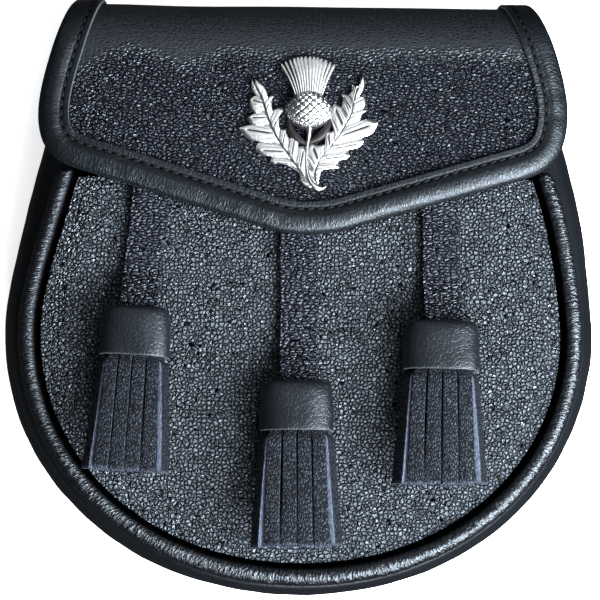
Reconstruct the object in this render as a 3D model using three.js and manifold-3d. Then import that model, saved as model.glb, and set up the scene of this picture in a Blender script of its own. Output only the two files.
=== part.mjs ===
// A day sporran: a leather pouch worn in front of a kilt, lying on its back.
// Millimetres. +X is to the right of someone facing the front, +Y points to the fold at the top,
// and +Z points out of the front. Heights in Y are measured from the pouch's widest line,
// and the finished group is moved so that its box stands centred on the origin.
import * as THREE from "three";
import { mergeVertices } from "three/addons/utils/BufferGeometryUtils.js";
import Module from "manifold-3d";

const wasm = await Module();
wasm.setup();

// Leather thicknesses, and the gap that is left where pieces touch
const panelThickness = 2;
const gussetThickness = 1.6;
const flapThickness = 2;
const bindingThickness = 1.15;
const seatGap = 0.3;

// Body outline at the bulge of the gusset; the gusset reaches out from the panel by less at its top
const bodyWidth = 190.6;
const bodyBelow = 85;
const gussetTopReach = 5.8;
const sideCurve = 1.55;
const bodyLean = 1.5;
const leanBelowTop = 7;
const roundness = 2.06;
const sideStationLow = 9;

// Front panel
const panelWidth = 164.2;
const panelWideY = -2;
const panelBottomInset = 10.3;
const panelTopY = 47;
const panelTopWidth = 145.4;
const frontZ = 38;
const panelEdgeDrop = 2;
const panelEdgeRound = 9;

// Front seam: a roll beside the panel's edge, on a flange between the panel and the gusset's lip
const pipingRadius = 3;
const pipingSink = 0.4;
const seamGroove = 1.2;
const seamWidth = 6;
const flangeThickness = 1;
const pipingTopY = 49.5;
const gussetDip = 1.5;

// Side wall between the roll and the back: how far it lies inside the bulge, as shares of the
// back's inset and of the reach, and how far down it is, as a share of its depth
const gussetRows = [
  { inset: 0.22, reach: 0.12, down: 0.18 },
  { inset: 0, reach: 0, down: 0.42 },
  { inset: 0.1, reach: 0, down: 0.65 },
  { inset: 0.52, reach: 0, down: 0.88 },
];

// Back panel, which slopes because the belt loops lie under its upper half
const backInset = 5;
const backSeamWidth = 9;
const backEdgeTuck = 0.6;
const topBelowFold = 0.8;
const gussetBelowBack = 2;

// Belt loops: leather strips on the back, open sideways for a strap
const loopWidth = 22;
const loopSpacing = 84;
const loopThickness = 1.8;
const beltGap = 4.5;
const beltWidth = 26;
const loopLowY = 34;
const loopRamp = 5;
const loopFoot = 7;

// Flap, cut flat and then folded over the top; v runs from the tip of its V up to its sewn tail
const flapTipY = 27.4;
const strapClearance = 0.4;
const flapTopY = 106.5;
const flapTailLength = 13;
const sideDroop = 3;
const droopFrom = 58;
const droopFadeBelow = 20;
const droopFadeAbove = 25;
const flapHalf = 84.5;
const flapCornerV = 40;
const tailHalf = 73.4;

// Left and right edges of the flap, as shares of its half width and of its corner's height:
// half widths at the fold and at the widest line, where the corner meets the straight arm of the V,
// and where the arm meets the rounded tip
const flapEdgeShares = [
  { side: -1, fold: 0.8757, wide: 0.9929, wideV: 0.975, armX: 0.8284, armV: 0.51, tipX: 0.142, tipV: 0.05 },
  { side: 1, fold: 0.8923, wide: 1.0083, wideV: 1.025, armX: 0.8225, armV: 0.45, tipX: 0.1657, tipV: 0.04 },
];
const foldFlareV = 70;
const flareLength = 18;
const flareBow = 0.6;
const widestPull = 14;
const cornerRoundness = 0.62;
const foldStep = 7;
const frontStep = 15;

// Smooth border round the flap
const bindingWidth = 10;
const bindingEdge = 1.6;
const bindingClearance = 0.25;
const flapEdgeGap = 0.7;
const bindingPuff = 0.75;
const bindingShoulder = 0.35;
const stitchInset = 7.6;
const stitchDip = 0.1;

// Tassels: where the top of each cap lies and where its strap comes down, as shares of the panel's
// half width and of its top's height, how they hang, in degrees, and how wide each is cut
const tasselShares = [
  { name: "left", capX: -0.6248, capTopY: 0.0766, tilt: -3.4, strapX: -0.6261, strapTilt: -5.6, cut: 0.94 },
  { name: "centre", capX: -0.0244, capTopY: -0.4085, tilt: 0, strapX: -0.0134, strapTilt: 0, cut: 1 },
  { name: "right", capX: 0.5262, capTopY: -0.0064, tilt: -1.5, strapX: 0.5384, strapTilt: 0.6, cut: 1.04 },
];
const strapWidth = 12;
const strapThickness = 2.3;
const strapLiftLength = 15;
const strapInCap = 4.6;
const strapBelowHem = 2.5;
const strapStudGap = 4.3;
const capSquareness = 2.5;
const capLength = 15.3;
const capWall = 1.5;
const capHalfWidth = 11.6;
const capHalfDepth = 6.6;
const capHoleSide = 1.6;
const capHoleOut = 2.2;
const skirtLength = 35.2;
const skirtCoreBelow = 6;
const stripThickness = 1.7;
const stripWidthTop = 3.9;
const stripWidthEnd = 4.9;
const stripTuck = 1.4;
const stripRimDrop = 0.6;

// Strips of one tassel skirt: places in the cap and at the free end as shares of the cap's
// half width and half depth, how far each strip's face is turned from the front, in degrees,
// and how wide it is cut
const skirtStrips = [
  { across: -0.5, out: 0.36, endAcross: -0.66, endOut: 0.86, turn: -5, cut: 1 },
  { across: -0.17, out: 0.48, endAcross: -0.22, endOut: 0.9, turn: -2, cut: 1 },
  { across: 0.17, out: 0.48, endAcross: 0.21, endOut: 0.92, turn: 2, cut: 1 },
  { across: 0.5, out: 0.36, endAcross: 0.65, endOut: 0.88, turn: 6, cut: 1 },
  { across: 0.6, out: 0, endAcross: 1.07, endOut: 0.42, turn: 60, cut: 1.15 },
  { across: 0.5, out: -0.27, endAcross: 0.74, endOut: -0.8, turn: 180, cut: 1 },
  { across: 0.17, out: -0.32, endAcross: 0.24, endOut: -0.8, turn: 180, cut: 1 },
  { across: -0.17, out: -0.32, endAcross: -0.24, endOut: -0.8, turn: 180, cut: 1 },
  { across: -0.5, out: -0.27, endAcross: -0.74, endOut: -0.8, turn: 180, cut: 1 },
  { across: -0.6, out: 0, endAcross: -1.07, endOut: 0.42, turn: -60, cut: 1.15 },
];

// How far a strip has spread at places down the skirt, as shares of its length
const stripSpread = [
  { down: 0, spread: 0 },
  { down: 0.12, spread: 0.5 },
  { down: 1, spread: 1 },
];

// Closing stud under the flap
const studRadius = 3.6;
const studClearance = 0.9;

// Badge: its middle on the flap, its posts, and the heights of its cast relief
const badgeX = 1.6;
const badgeY = 62.6;
const badgeWidth = 44.4;
const badgePlate = 0.9;
const leafRidge = 1.9;
const globeHeight = 4.6;
const postRadius = 1.1;
const postSpacing = 15;
const postsBelowMiddle = 1;

// Sizes that follow from the ones above
const seamZ = frontZ - panelEdgeDrop;
const pipingOut = seamGroove + pipingRadius;
const pipingZ = seamZ - pipingSink;
const flangeZ = seamZ - panelThickness - seatGap - flangeThickness / 2;
const lipZ = flangeZ - flangeThickness / 2 - seatGap - gussetThickness / 2;
const backBottomY = -bodyBelow + backInset;
const backSlope = (loopThickness + beltGap) / (loopLowY - backBottomY);
const bindingStack = flapThickness + bindingThickness + bindingClearance;
const strapTopZ = frontZ + seatGap + strapThickness;
const flapZ = strapTopZ + strapClearance + bindingStack;
const backRear = (y) => backSlope * (y - backBottomY);
const foldRadius = findFoldRadius();
const foldY = flapTopY - foldRadius;
const foldStartV = foldY - flapTipY;
const foldAngle = Math.PI - Math.atan(backSlope);
const foldEndV = foldStartV + foldRadius * foldAngle;
const tailV = foldEndV + flapTailLength;
const backTopY = foldY - topBelowFold;
const gussetTopY = backTopY - gussetBelowBack;
const studY = flapTipY + bindingWidth + studClearance + studRadius;

// The fold's radius brings the tail one binding behind the back panel.
function findFoldRadius() {
  const depth = flapZ + bindingStack + seatGap - backRear(flapTopY);
  const lean = Math.atan(backSlope);
  return depth / (1 + Math.cos(lean) - backSlope * (1 - Math.sin(lean)));
}

// Half width of a bell-shaped outline at a height: constant at its widest line,
// narrowing by a power of the height, and straight on above its top corner.
function bellHalfWidth(bell, y) {
  const rise = Math.max(0, (y - bell.wideY) / (bell.topY - bell.wideY));
  const drop = bell.half - bell.topHalf;
  const above = Math.max(0, rise - 1);
  return bell.half - drop * Math.min(1, rise) ** sideCurve - drop * sideCurve * above;
}

const body = {
  half: bodyWidth / 2,
  wideY: 0,
  below: bodyBelow,
  topY: gussetTopY,
  topHalf: panelTopWidth / 2 + gussetTopReach,
};
const panel = {
  half: panelWidth / 2,
  wideY: panelWideY,
  below: bodyBelow - panelBottomInset + panelWideY,
  topY: panelTopY,
  topHalf: panelTopWidth / 2,
};

// How far an outline leans to the right at a height: from its widest line up to near the panel's top.
function leanAt(y) {
  return bodyLean * THREE.MathUtils.smoothstep(y, 0, panelTopY - leanBelowTop);
}

// Point of a bell outline at a station: a height on one side, or an angle round the lower half.
function bellPoint(bell, station) {
  if (station.side) {
    return new THREE.Vector2(station.side * bellHalfWidth(bell, station.y) + leanAt(station.y), station.y);
  }
  const power = 2 / roundness;
  const across = -Math.cos(station.angle);
  return new THREE.Vector2(
    bell.half * Math.sign(across) * Math.abs(across) ** power,
    bell.wideY - bell.below * Math.abs(Math.sin(station.angle)) ** power,
  );
}

// Stations from the top of the left side, down and round the bottom, to the top of the right side.
function stationsFrom(topY, sideSteps, lowerSteps) {
  const drop = (sideStationLow - topY) / (sideSteps - 1);
  const heights = Array.from({ length: sideSteps }, (_, i) => topY + drop * i);
  const lower = Array.from({ length: lowerSteps + 1 }, (_, i) => ({ angle: (Math.PI * i) / lowerSteps }));
  return [
    ...heights.map((y) => ({ side: -1, y })),
    ...lower,
    ...heights.reverse().map((y) => ({ side: 1, y })),
  ];
}

// Where a station's seam section lies: its start on the panel's edge, the way out, and the reach to the body.
function seamFrame(station) {
  const start = bellPoint(panel, station);
  const end = bellPoint(body, station);
  const out = end.clone().sub(start);
  const reach = out.length();
  return { start, out: out.normalize(), reach };
}

// A section point, given as a distance out from the panel's edge and a height, in space.
function placeSection(frame, point) {
  return new THREE.Vector3(
    frame.start.x + frame.out.x * point.x,
    frame.start.y + frame.out.y * point.x,
    point.y,
  );
}

// A closed mesh from points and triangles, turned so that its faces point out.
function closedGeometry(points, triangles) {
  let sixVolumes = 0;
  for (const [a, b, c] of triangles) {
    sixVolumes += points[a].dot(points[b].clone().cross(points[c]));
  }
  const index = sixVolumes > 0 ? triangles : triangles.map(([a, b, c]) => [a, c, b]);
  const geometry = new THREE.BufferGeometry();
  geometry.setAttribute("position", new THREE.Float32BufferAttribute(points.flatMap((p) => p.toArray()), 3));
  geometry.setIndex(index.flat());
  return geometry;
}

// Triangles between ring after ring of equally many points.
function ringWalls(rings, size, closed) {
  const triangles = [];
  const spans = closed ? rings : rings - 1;
  for (let r = 0; r < spans; r += 1) {
    const next = (r + 1) % rings;
    for (let i = 0; i < size; i += 1) {
      const j = (i + 1) % size;
      triangles.push([r * size + i, r * size + j, next * size + j]);
      triangles.push([r * size + i, next * size + j, next * size + i]);
    }
  }
  return triangles;
}

// A bar with one flat section carried through rings, closed by the section at both ends.
function loft(rings, section) {
  const size = section.length;
  const flat = THREE.ShapeUtils.triangulateShape(section, []);
  const cap = THREE.ShapeUtils.isClockWise(section) ? flat.map(([a, b, c]) => [a, c, b]) : flat;
  const last = (rings.length - 1) * size;
  const triangles = [
    ...ringWalls(rings.length, size, false),
    ...cap.map(([a, b, c]) => [a, c, b]),
    ...cap.map(([a, b, c]) => [a + last, b + last, c + last]),
  ];
  return closedGeometry(rings.flat(), triangles);
}

// A tube whose rings run out and back in again, so that the last ring meets the first.
function loftLoop(rings) {
  return closedGeometry(rings.flat(), ringWalls(rings.length, rings[0].length, true));
}

// A slab between two grids of points, rows by columns.
function slab(outer, inner) {
  const rows = outer.length;
  const columns = outer[0].length;
  const shift = rows * columns;
  const at = (r, c) => r * columns + c;
  const triangles = [];
  const quad = (a, b, c, d) => triangles.push([a, b, c], [a, c, d]);
  for (let r = 0; r < rows - 1; r += 1) {
    for (let c = 0; c < columns - 1; c += 1) {
      quad(at(r, c), at(r, c + 1), at(r + 1, c + 1), at(r + 1, c));
      quad(shift + at(r, c), shift + at(r + 1, c), shift + at(r + 1, c + 1), shift + at(r, c + 1));
    }
    quad(at(r, 0), at(r + 1, 0), shift + at(r + 1, 0), shift + at(r, 0));
    const [low, high] = [at(r, columns - 1), at(r + 1, columns - 1)];
    quad(high, low, shift + low, shift + high);
  }
  for (let c = 0; c < columns - 1; c += 1) {
    quad(at(0, c + 1), at(0, c), shift + at(0, c), shift + at(0, c + 1));
    quad(at(rows - 1, c), at(rows - 1, c + 1), shift + at(rows - 1, c + 1), shift + at(rows - 1, c));
  }
  return closedGeometry([...outer.flat(), ...inner.flat()], triangles);
}

// Section of a strip of leather: its middle line moved out to each side by half its thickness.
function thicken(line, thickness) {
  const sides = line.map((point, i) => {
    const before = line[Math.max(0, i - 1)];
    const after = line[Math.min(line.length - 1, i + 1)];
    const along = after.clone().sub(before).normalize();
    return new THREE.Vector2(-along.y, along.x).multiplyScalar(thickness / 2);
  });
  const upper = line.map((point, i) => point.clone().add(sides[i]));
  const lower = line.map((point, i) => point.clone().sub(sides[i]));
  return [...upper, ...lower.reverse()];
}

// Solids that are cut or joined
function toSolid(geometry) {
  const bare = geometry.clone();
  bare.deleteAttribute("normal");
  bare.deleteAttribute("uv");
  const merged = mergeVertices(bare, 1e-4);
  const vertProperties = merged.attributes.position.array;
  const triVerts = new Uint32Array(merged.index.array);
  return new wasm.Manifold(new wasm.Mesh({ numProp: 3, vertProperties, triVerts }));
}

function toGeometry(solid) {
  const mesh = solid.getMesh();
  const geometry = new THREE.BufferGeometry();
  geometry.setAttribute("position", new THREE.Float32BufferAttribute(mesh.vertProperties, 3));
  geometry.setIndex([...mesh.triVerts]);
  return geometry;
}

function join(geometries) {
  return toGeometry(geometries.map(toSolid).reduce((whole, piece) => whole.add(piece)));
}

// Gusset: from its lip under the panel, out under the piping, round the bulge and in on to the back.
function gussetLine(station) {
  const { reach, start, out } = seamFrame(station);
  const bulge = reach - gussetThickness / 2;
  const onBack = (from) => {
    const y = start.y + out.y * from;
    return backRear(y) + panelThickness + seatGap + gussetThickness / 2;
  };
  const bend = bulge - backInset - backEdgeTuck;
  const inner = bend - backSeamWidth;
  const depth = lipZ - onBack(bend);
  const side = gussetRows.map((row) => ({
    out: bulge - row.inset * backInset - row.reach * reach,
    z: lipZ - row.down * depth,
  }));
  const rows = [
    { out: -seamWidth, z: lipZ },
    { out: 0, z: lipZ },
    { out: pipingOut, z: lipZ - 0.13 * gussetDip },
    { out: pipingOut + pipingRadius * 1.1, z: lipZ - gussetDip },
    ...side,
    { out: bend, z: onBack(bend) },
    { out: inner, z: onBack(inner) },
  ];
  return rows.map((row) => new THREE.Vector2(row.out, row.z));
}

function makeGusset() {
  const stations = stationsFrom(gussetTopY, 6, 24);
  const sections = stations.map((station) => thicken(gussetLine(station), gussetThickness));
  const rings = stations.map((station, i) => {
    const frame = seamFrame(station);
    return sections[i].map((point) => placeSection(frame, point));
  });
  return loft(rings, sections[0]);
}

// Piping: a roll with a flat flange that is sewn between the panel and the gusset's lip.
function pipingSection(roll) {
  const firstAngle = 219;
  const lastAngle = -106;
  const steps = 10;
  const footShare = 0.63;
  const rollZ = pipingZ - (1 - roll) * pipingRadius * footShare;
  const arc = Array.from({ length: steps + 1 }, (_, i) => {
    const angle = THREE.MathUtils.degToRad(firstAngle + ((lastAngle - firstAngle) * i) / steps);
    return new THREE.Vector2(
      pipingOut + roll * pipingRadius * Math.cos(angle),
      rollZ + roll * pipingRadius * Math.sin(angle),
    );
  });
  return [
    new THREE.Vector2(-seamWidth, flangeZ + flangeThickness / 2),
    ...arc,
    new THREE.Vector2(-seamWidth, flangeZ - flangeThickness / 2),
  ];
}

function makePiping() {
  const stations = stationsFrom(pipingTopY, 5, 24);
  const roundedEnd = 0.72;
  const rings = stations.map((station, i) => {
    const atEnd = i === 0 || i === stations.length - 1;
    const frame = seamFrame(station);
    return pipingSection(atEnd ? roundedEnd : 1).map((point) => placeSection(frame, point));
  });
  return loft(rings, pipingSection(1));
}

// Front panel: rings drawn in from its edge towards a middle point, rising from the seam.
function makeFrontPanel() {
  const topSteps = 6;
  const edge = stationsFrom(panelTopY, 5, 24).map((station) => bellPoint(panel, station));
  const corner = panel.topHalf;
  for (let i = 1; i < topSteps; i += 1) {
    edge.push(new THREE.Vector2(leanAt(panelTopY) + corner - (2 * corner * i) / topSteps, panelTopY));
  }
  const middle = new THREE.Vector2(0, panelWideY);
  const shares = [1, 0.975, 0.945, 0.9];
  const height = (point, base, share) => {
    const fromSide = corner - Math.abs(point.x - leanAt(panelTopY));
    const fromEdge = base.y === panelTopY ? Math.max(0, fromSide) : (1 - share) * base.distanceTo(middle);
    const rise = THREE.MathUtils.smoothstep(fromEdge, -panelEdgeRound / 2, panelEdgeRound);
    return seamZ + panelEdgeDrop * (2 * rise - 1) * (rise > 0.5 ? 1 : 0);
  };
  const ringAt = (share, down) =>
    edge.map((base) => {
      const point = base.clone().sub(middle).multiplyScalar(share).add(middle);
      return new THREE.Vector3(point.x, point.y, height(point, base, share) - down);
    });
  const rings = [
    ...shares.map((share) => ringAt(share, 0)).reverse(),
    ...shares.map((share) => ringAt(share, panelThickness)),
  ];
  const size = edge.length;
  const top = rings.flat().length;
  const points = [
    ...rings.flat(),
    new THREE.Vector3(middle.x, middle.y, frontZ),
    new THREE.Vector3(middle.x, middle.y, frontZ - panelThickness),
  ];
  const triangles = ringWalls(rings.length, size, false);
  const last = (rings.length - 1) * size;
  for (let i = 0; i < size; i += 1) {
    const j = (i + 1) % size;
    triangles.push([top, j, i]);
    triangles.push([top + 1, last + i, last + j]);
  }
  return closedGeometry(points, triangles);
}

// Back panel: a flat plate in the sloping plane of the back.
function makeBackPanel() {
  const outline = stationsFrom(backTopY, 7, 30).map((station) => {
    const frame = seamFrame(station);
    return placeSection(frame, new THREE.Vector2(frame.reach - backInset, 0));
  });
  const shape = new THREE.Shape(outline.map((p) => new THREE.Vector2(p.x, p.y)));
  const plate = new THREE.ExtrudeGeometry(shape, { depth: panelThickness, bevelEnabled: false });
  const position = plate.attributes.position;
  for (let i = 0; i < position.count; i += 1) {
    position.setZ(i, position.getZ(i) + backRear(position.getY(i)));
  }
  return plate;
}

// Belt loop: a strip with a sewn foot at each end, lying flat on the surface below the belt's gap.
function makeBeltLoop(x) {
  const high = loopLowY + beltWidth;
  const under = seatGap + loopThickness;
  const outer = [
    [loopLowY - loopRamp - loopFoot, under],
    [loopLowY - loopRamp, under],
    [loopLowY, null],
    [high, null],
    [high + loopRamp, under],
    [high + loopRamp + loopFoot, under],
  ].map(([y, drop]) => new THREE.Vector2(y, drop === null ? 0 : backRear(y) - drop));
  const bendShare = 0.35;
  const inset = loopThickness * bendShare;
  const inner = [
    [high + loopRamp + loopFoot, seatGap],
    [high + loopRamp - inset, seatGap],
    [high - inset, null],
    [loopLowY + inset, null],
    [loopLowY - loopRamp + inset, seatGap],
    [loopLowY - loopRamp - loopFoot, seatGap],
  ].map(([y, drop]) => new THREE.Vector2(y, drop === null ? loopThickness : backRear(y) - drop));
  const strip = new THREE.ExtrudeGeometry(new THREE.Shape([...outer, ...inner]), {
    depth: loopWidth,
    bevelEnabled: false,
  });
  // The profile is drawn in Y and Z, and its width runs along X.
  const turn = new THREE.Matrix4().makeBasis(
    new THREE.Vector3(0, 1, 0),
    new THREE.Vector3(0, 0, 1),
    new THREE.Vector3(1, 0, 0),
  );
  strip.applyMatrix4(turn);
  strip.translate(x - loopWidth / 2, 0, 0);
  return strip;
}

// A point of the flap, given flat as (x, v) and a height above its outer surface, folded over the top.
function fold(x, v, height) {
  const reach = Math.max(0, Math.abs(x) - droopFrom) / (bodyWidth / 2 - bindingWidth - droopFrom);
  const fade = 1 - THREE.MathUtils.smoothstep(v, foldStartV - droopFadeBelow, foldStartV + droopFadeAbove);
  const up = height - sideDroop * reach ** 2 * fade;
  if (v <= foldStartV) return new THREE.Vector3(x, flapTipY + v, flapZ + up);
  const angle = Math.min(foldAngle, (v - foldStartV) / foldRadius);
  const tail = Math.max(0, v - foldEndV);
  return new THREE.Vector3(
    x,
    foldY + (foldRadius + up) * Math.sin(angle) + tail * Math.cos(angle),
    flapZ - foldRadius + (foldRadius + up) * Math.cos(angle) - tail * Math.sin(angle),
  );
}

const flapEdges = flapEdgeShares.map((row) => ({
  side: row.side,
  foldHalf: row.fold * flapHalf,
  wideHalf: row.wide * flapHalf,
  wideV: row.wideV * flapCornerV,
  armX: row.armX * flapHalf,
  armV: row.armV * flapCornerV,
  tipX: row.tipX * flapHalf,
  tipV: row.tipV * flapCornerV,
}));

// One edge of the flat flap, from its tail down to the tip, as points (x, v).
function flapEdge(edge) {
  const path = new THREE.Path();
  const corner = cornerRoundness * (edge.wideV - edge.armV);
  const armSlope = (edge.armV - edge.tipV) / (edge.armX - edge.tipX);
  const cornerIn = cornerRoundness * (edge.wideHalf - edge.armX);
  path.moveTo(tailHalf, tailV);
  path.lineTo(edge.foldHalf, foldFlareV + flareLength);
  path.bezierCurveTo(
    edge.foldHalf + flareBow,
    foldFlareV,
    edge.wideHalf,
    edge.wideV + widestPull,
    edge.wideHalf,
    edge.wideV,
  );
  path.bezierCurveTo(
    edge.wideHalf,
    edge.wideV - corner,
    edge.armX + cornerIn,
    edge.armV + armSlope * cornerIn,
    edge.armX,
    edge.armV,
  );
  path.lineTo(edge.tipX, edge.tipV);
  path.quadraticCurveTo(edge.tipX - edge.tipV / armSlope, 0, 0, 0);
  const points = path.getPoints(6).map((p) => new THREE.Vector2(edge.side * p.x, p.y));
  return splitLong(points);
}

// Adds points to long steps, closer together over the fold than down the front.
function splitLong(points) {
  const dense = [points[0]];
  for (let i = 1; i < points.length; i += 1) {
    const from = points[i - 1];
    const to = points[i];
    const longest = from.y > foldStartV ? foldStep : frontStep;
    const parts = Math.ceil(from.distanceTo(to) / longest);
    for (let k = 1; k <= parts; k += 1) dense.push(from.clone().lerp(to, k / parts));
  }
  return dense;
}

// Way inwards at each point of an edge.
function inwardWays(points, side) {
  return points.map((point, i) => {
    const before = points[Math.max(0, i - 1)];
    const after = points[Math.min(points.length - 1, i + 1)];
    const along = after.clone().sub(before).normalize();
    if (i === points.length - 1) return new THREE.Vector2(0, 1);
    return new THREE.Vector2(side * along.y, -side * along.x);
  });
}

// X of an edge at a height v.
function edgeX(points, v) {
  for (let i = 1; i < points.length; i += 1) {
    const high = points[i - 1];
    const low = points[i];
    if (v >= low.y && v <= high.y) {
      const share = (v - low.y) / Math.max(1e-9, high.y - low.y);
      return low.x + (high.x - low.x) * share;
    }
  }
  return v > points[0].y ? points[0].x : points[points.length - 1].x;
}

function insetEdge(edge, inset) {
  const points = flapEdge(edge);
  const ways = inwardWays(points, edge.side);
  return points.map((p, i) => p.clone().addScaledVector(ways[i], inset));
}

// Flap: rows across from edge to edge, folded, with holes for the badge's posts.
function makeFlap() {
  const columns = [0, 0.04, 0.09, 0.16, 0.3, 0.5, 0.7, 0.84, 0.91, 0.96, 1];
  const nearest = 1.4;
  const inset = bindingEdge + flapEdgeGap;
  const [left, right] = flapEdges.map((edge) => insetEdge(edge, inset));
  const lowest = inset + flapEdgeGap / 2;
  const heights = [...left, ...right].map((p) => Math.min(tailV, p.y)).filter((v) => v > lowest);
  const sorted = [...new Set(heights), lowest, tailV].sort((a, b) => a - b);
  const rowsV = sorted.filter((v, i) => i === 0 || v - sorted[i - 1] > nearest || v === tailV);
  const spaced = rowsV.filter((v, i) => i === 0 || v === tailV || v - rowsV[i - 1] > nearest);
  const grid = (height) =>
    spaced.map((v) => {
      const from = edgeX(left, v);
      const to = edgeX(right, v);
      return columns.map((share) => fold(from + (to - from) * share, v, height));
    });
  const sheet = toSolid(slab(grid(0), grid(-flapThickness)));
  const holes = badgePosts(postRadius + seatGap, flapThickness * 3).map((post) =>
    toSolid(post.translate(badgeX, badgeY, flapZ)),
  );
  return toGeometry(holes.reduce((whole, hole) => whole.subtract(hole), sheet));
}

// Binding: a smooth strip wrapped round the flap's edge, drawn as distance in and height.
function bindingSection() {
  const top = bindingClearance + bindingThickness;
  const bottom = -bindingStack;
  const cavityTop = bindingClearance;
  const cavityBottom = -flapThickness - bindingClearance;
  const nose = bindingEdge / 4;
  return [
    [bindingWidth, top],
    [bindingWidth, cavityTop],
    [bindingEdge, cavityTop],
    [bindingEdge, cavityBottom],
    [bindingWidth, cavityBottom],
    [bindingWidth, bottom],
    [bindingEdge + nose, bottom],
    [nose, bottom + 2 * nose],
    [0, -flapThickness / 2],
    [nose, top - 2 * nose],
    [bindingEdge + nose, top + bindingShoulder],
    [stitchInset * 0.58, top + bindingPuff],
    [stitchInset, top - stitchDip],
  ].map(([inwards, height]) => new THREE.Vector2(inwards, height));
}

function makeBinding() {
  const section = bindingSection();
  const [left, right] = flapEdges.map((edge) => {
    const points = flapEdge(edge);
    return { points, ways: inwardWays(points, edge.side) };
  });
  const route = [...left.points, ...right.points.slice(0, -1).reverse()];
  const ways = [...left.ways, ...right.ways.slice(0, -1).reverse()];
  const rings = route.map((point, i) =>
    section.map((s) => fold(point.x + ways[i].x * s.x, point.y + ways[i].y * s.x, s.y)),
  );
  return loft(rings, section);
}

// Ring of points with rounded corners about the tassel's axis, at a distance down from the cap's top.
function capRing(row, sides) {
  return Array.from({ length: sides }, (_, i) => {
    const angle = (2 * Math.PI * (i + 0.5)) / sides;
    const squared = (value) => Math.sign(value) * Math.abs(value) ** (2 / capSquareness);
    const across = row.x * squared(Math.cos(angle));
    const out = row.shift + row.z * squared(Math.sin(angle));
    return new THREE.Vector3(across, -row.along, out);
  });
}

// Tassel cap: a leather cup with a rounded shoulder and a hole near its back for the strap.
function makeTasselCap(halfWidth) {
  const sides = 14;
  const holeHalfWidth = strapWidth / 2 + capHoleSide;
  const holeHalfDepth = strapThickness / 2 + capHoleOut;
  const back = -0.15 * capHalfDepth;
  const rows = [
    { along: capLength, x: halfWidth, z: capHalfDepth, shift: 0 },
    { along: capLength * 0.5, x: halfWidth * 0.98, z: capHalfDepth * 0.98, shift: 0 },
    { along: capLength * 0.2, x: halfWidth * 0.95, z: capHalfDepth * 0.95, shift: 0 },
    { along: capLength * 0.055, x: halfWidth * 0.9, z: capHalfDepth * 0.88, shift: back * 0.2 },
    { along: 0, x: halfWidth * 0.8, z: capHalfDepth * 0.74, shift: back * 0.6 },
    { along: capWall * 0.13, x: holeHalfWidth, z: holeHalfDepth, shift: back },
    { along: capWall * 1.27, x: holeHalfWidth, z: holeHalfDepth, shift: back },
    { along: capWall * 2.07, x: halfWidth * 0.93 - capWall, z: capHalfDepth * 0.92 - capWall, shift: 0 },
    { along: capLength, x: halfWidth - capWall, z: capHalfDepth - capWall, shift: 0 },
  ];
  return loftLoop(rows.map((row) => capRing(row, sides)));
}

// One strip of a skirt: a flat bar that leans out from the cap to its free end.
function makeStrip(strip, halfWidth) {
  const turn = THREE.MathUtils.degToRad(strip.turn);
  const face = new THREE.Vector2(Math.cos(turn), -Math.sin(turn));
  const normal = new THREE.Vector2(Math.sin(turn), Math.cos(turn));
  const rim = capLength + stripRimDrop;
  const end = capLength + skirtLength;
  const stops = stripSpread.map((row) => ({ along: rim + (end - rim) * row.down, share: row.spread }));
  const half = (share) => (strip.cut * (stripWidthTop + (stripWidthEnd - stripWidthTop) * share)) / 2;
  const rings = [{ along: strapInCap + stripTuck, share: 0 }, ...stops].map(({ along, share }) => {
    const x = halfWidth * THREE.MathUtils.lerp(strip.across, strip.endAcross, share);
    const z = capHalfDepth * THREE.MathUtils.lerp(strip.out, strip.endOut, share);
    return [[-1, -1], [1, -1], [1, 1], [-1, 1]].map(([w, t]) => {
      const width = w * half(share);
      const thick = (t * stripThickness) / 2;
      return new THREE.Vector3(
        x + face.x * width + normal.x * thick,
        -along,
        z + face.y * width + normal.y * thick,
      );
    });
  });
  const square = [[-1, -1], [1, -1], [1, 1], [-1, 1]].map(([x, y]) => new THREE.Vector2(x, y));
  return loft(rings, square);
}

// Tassel skirt: strips fused to a core that fills the cap.
function makeSkirt(halfWidth) {
  const halfX = halfWidth * 0.62;
  const halfZ = capHalfDepth * 0.4;
  const core = new THREE.Shape();
  core.absellipse(0, 0, halfX, halfZ, 0, 2 * Math.PI);
  const plug = new THREE.ExtrudeGeometry(core, {
    depth: capLength + skirtCoreBelow - strapInCap - seatGap,
    bevelEnabled: false,
    curveSegments: 8,
  });
  plug.rotateX(Math.PI / 2);
  plug.translate(0, -strapInCap - seatGap, 0);
  return join([plug, ...skirtStrips.map((strip) => makeStrip(strip, halfWidth))]);
}

// Tassel strap: flat on the panel, then rising into the hole of the cap.
function makeStrap(tassel) {
  const rise = capHalfDepth * 0.85 - strapThickness / 2;
  const length = tassel.strapTopY - tassel.capTopY;
  const lift = [1, 0.73, 0.5, 0.27, 0].map((share) => share * strapLiftLength);
  const rings = [length, ...lift, -strapInCap].map((above) => {
    const share = 1 - THREE.MathUtils.smoothstep(above, 0, strapLiftLength);
    const low = rise * share;
    return [
      new THREE.Vector3(-strapWidth / 2, above, low),
      new THREE.Vector3(strapWidth / 2, above, low),
      new THREE.Vector3(strapWidth / 2, above, low + strapThickness),
      new THREE.Vector3(-strapWidth / 2, above, low + strapThickness),
    ];
  });
  const square = [[0, 0], [1, 0], [1, 1], [0, 1]].map(([x, y]) => new THREE.Vector2(x, y));
  return loft(rings, square);
}

// The badge is drawn in shares of its own width, from its middle, x to the right and y up.

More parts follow.
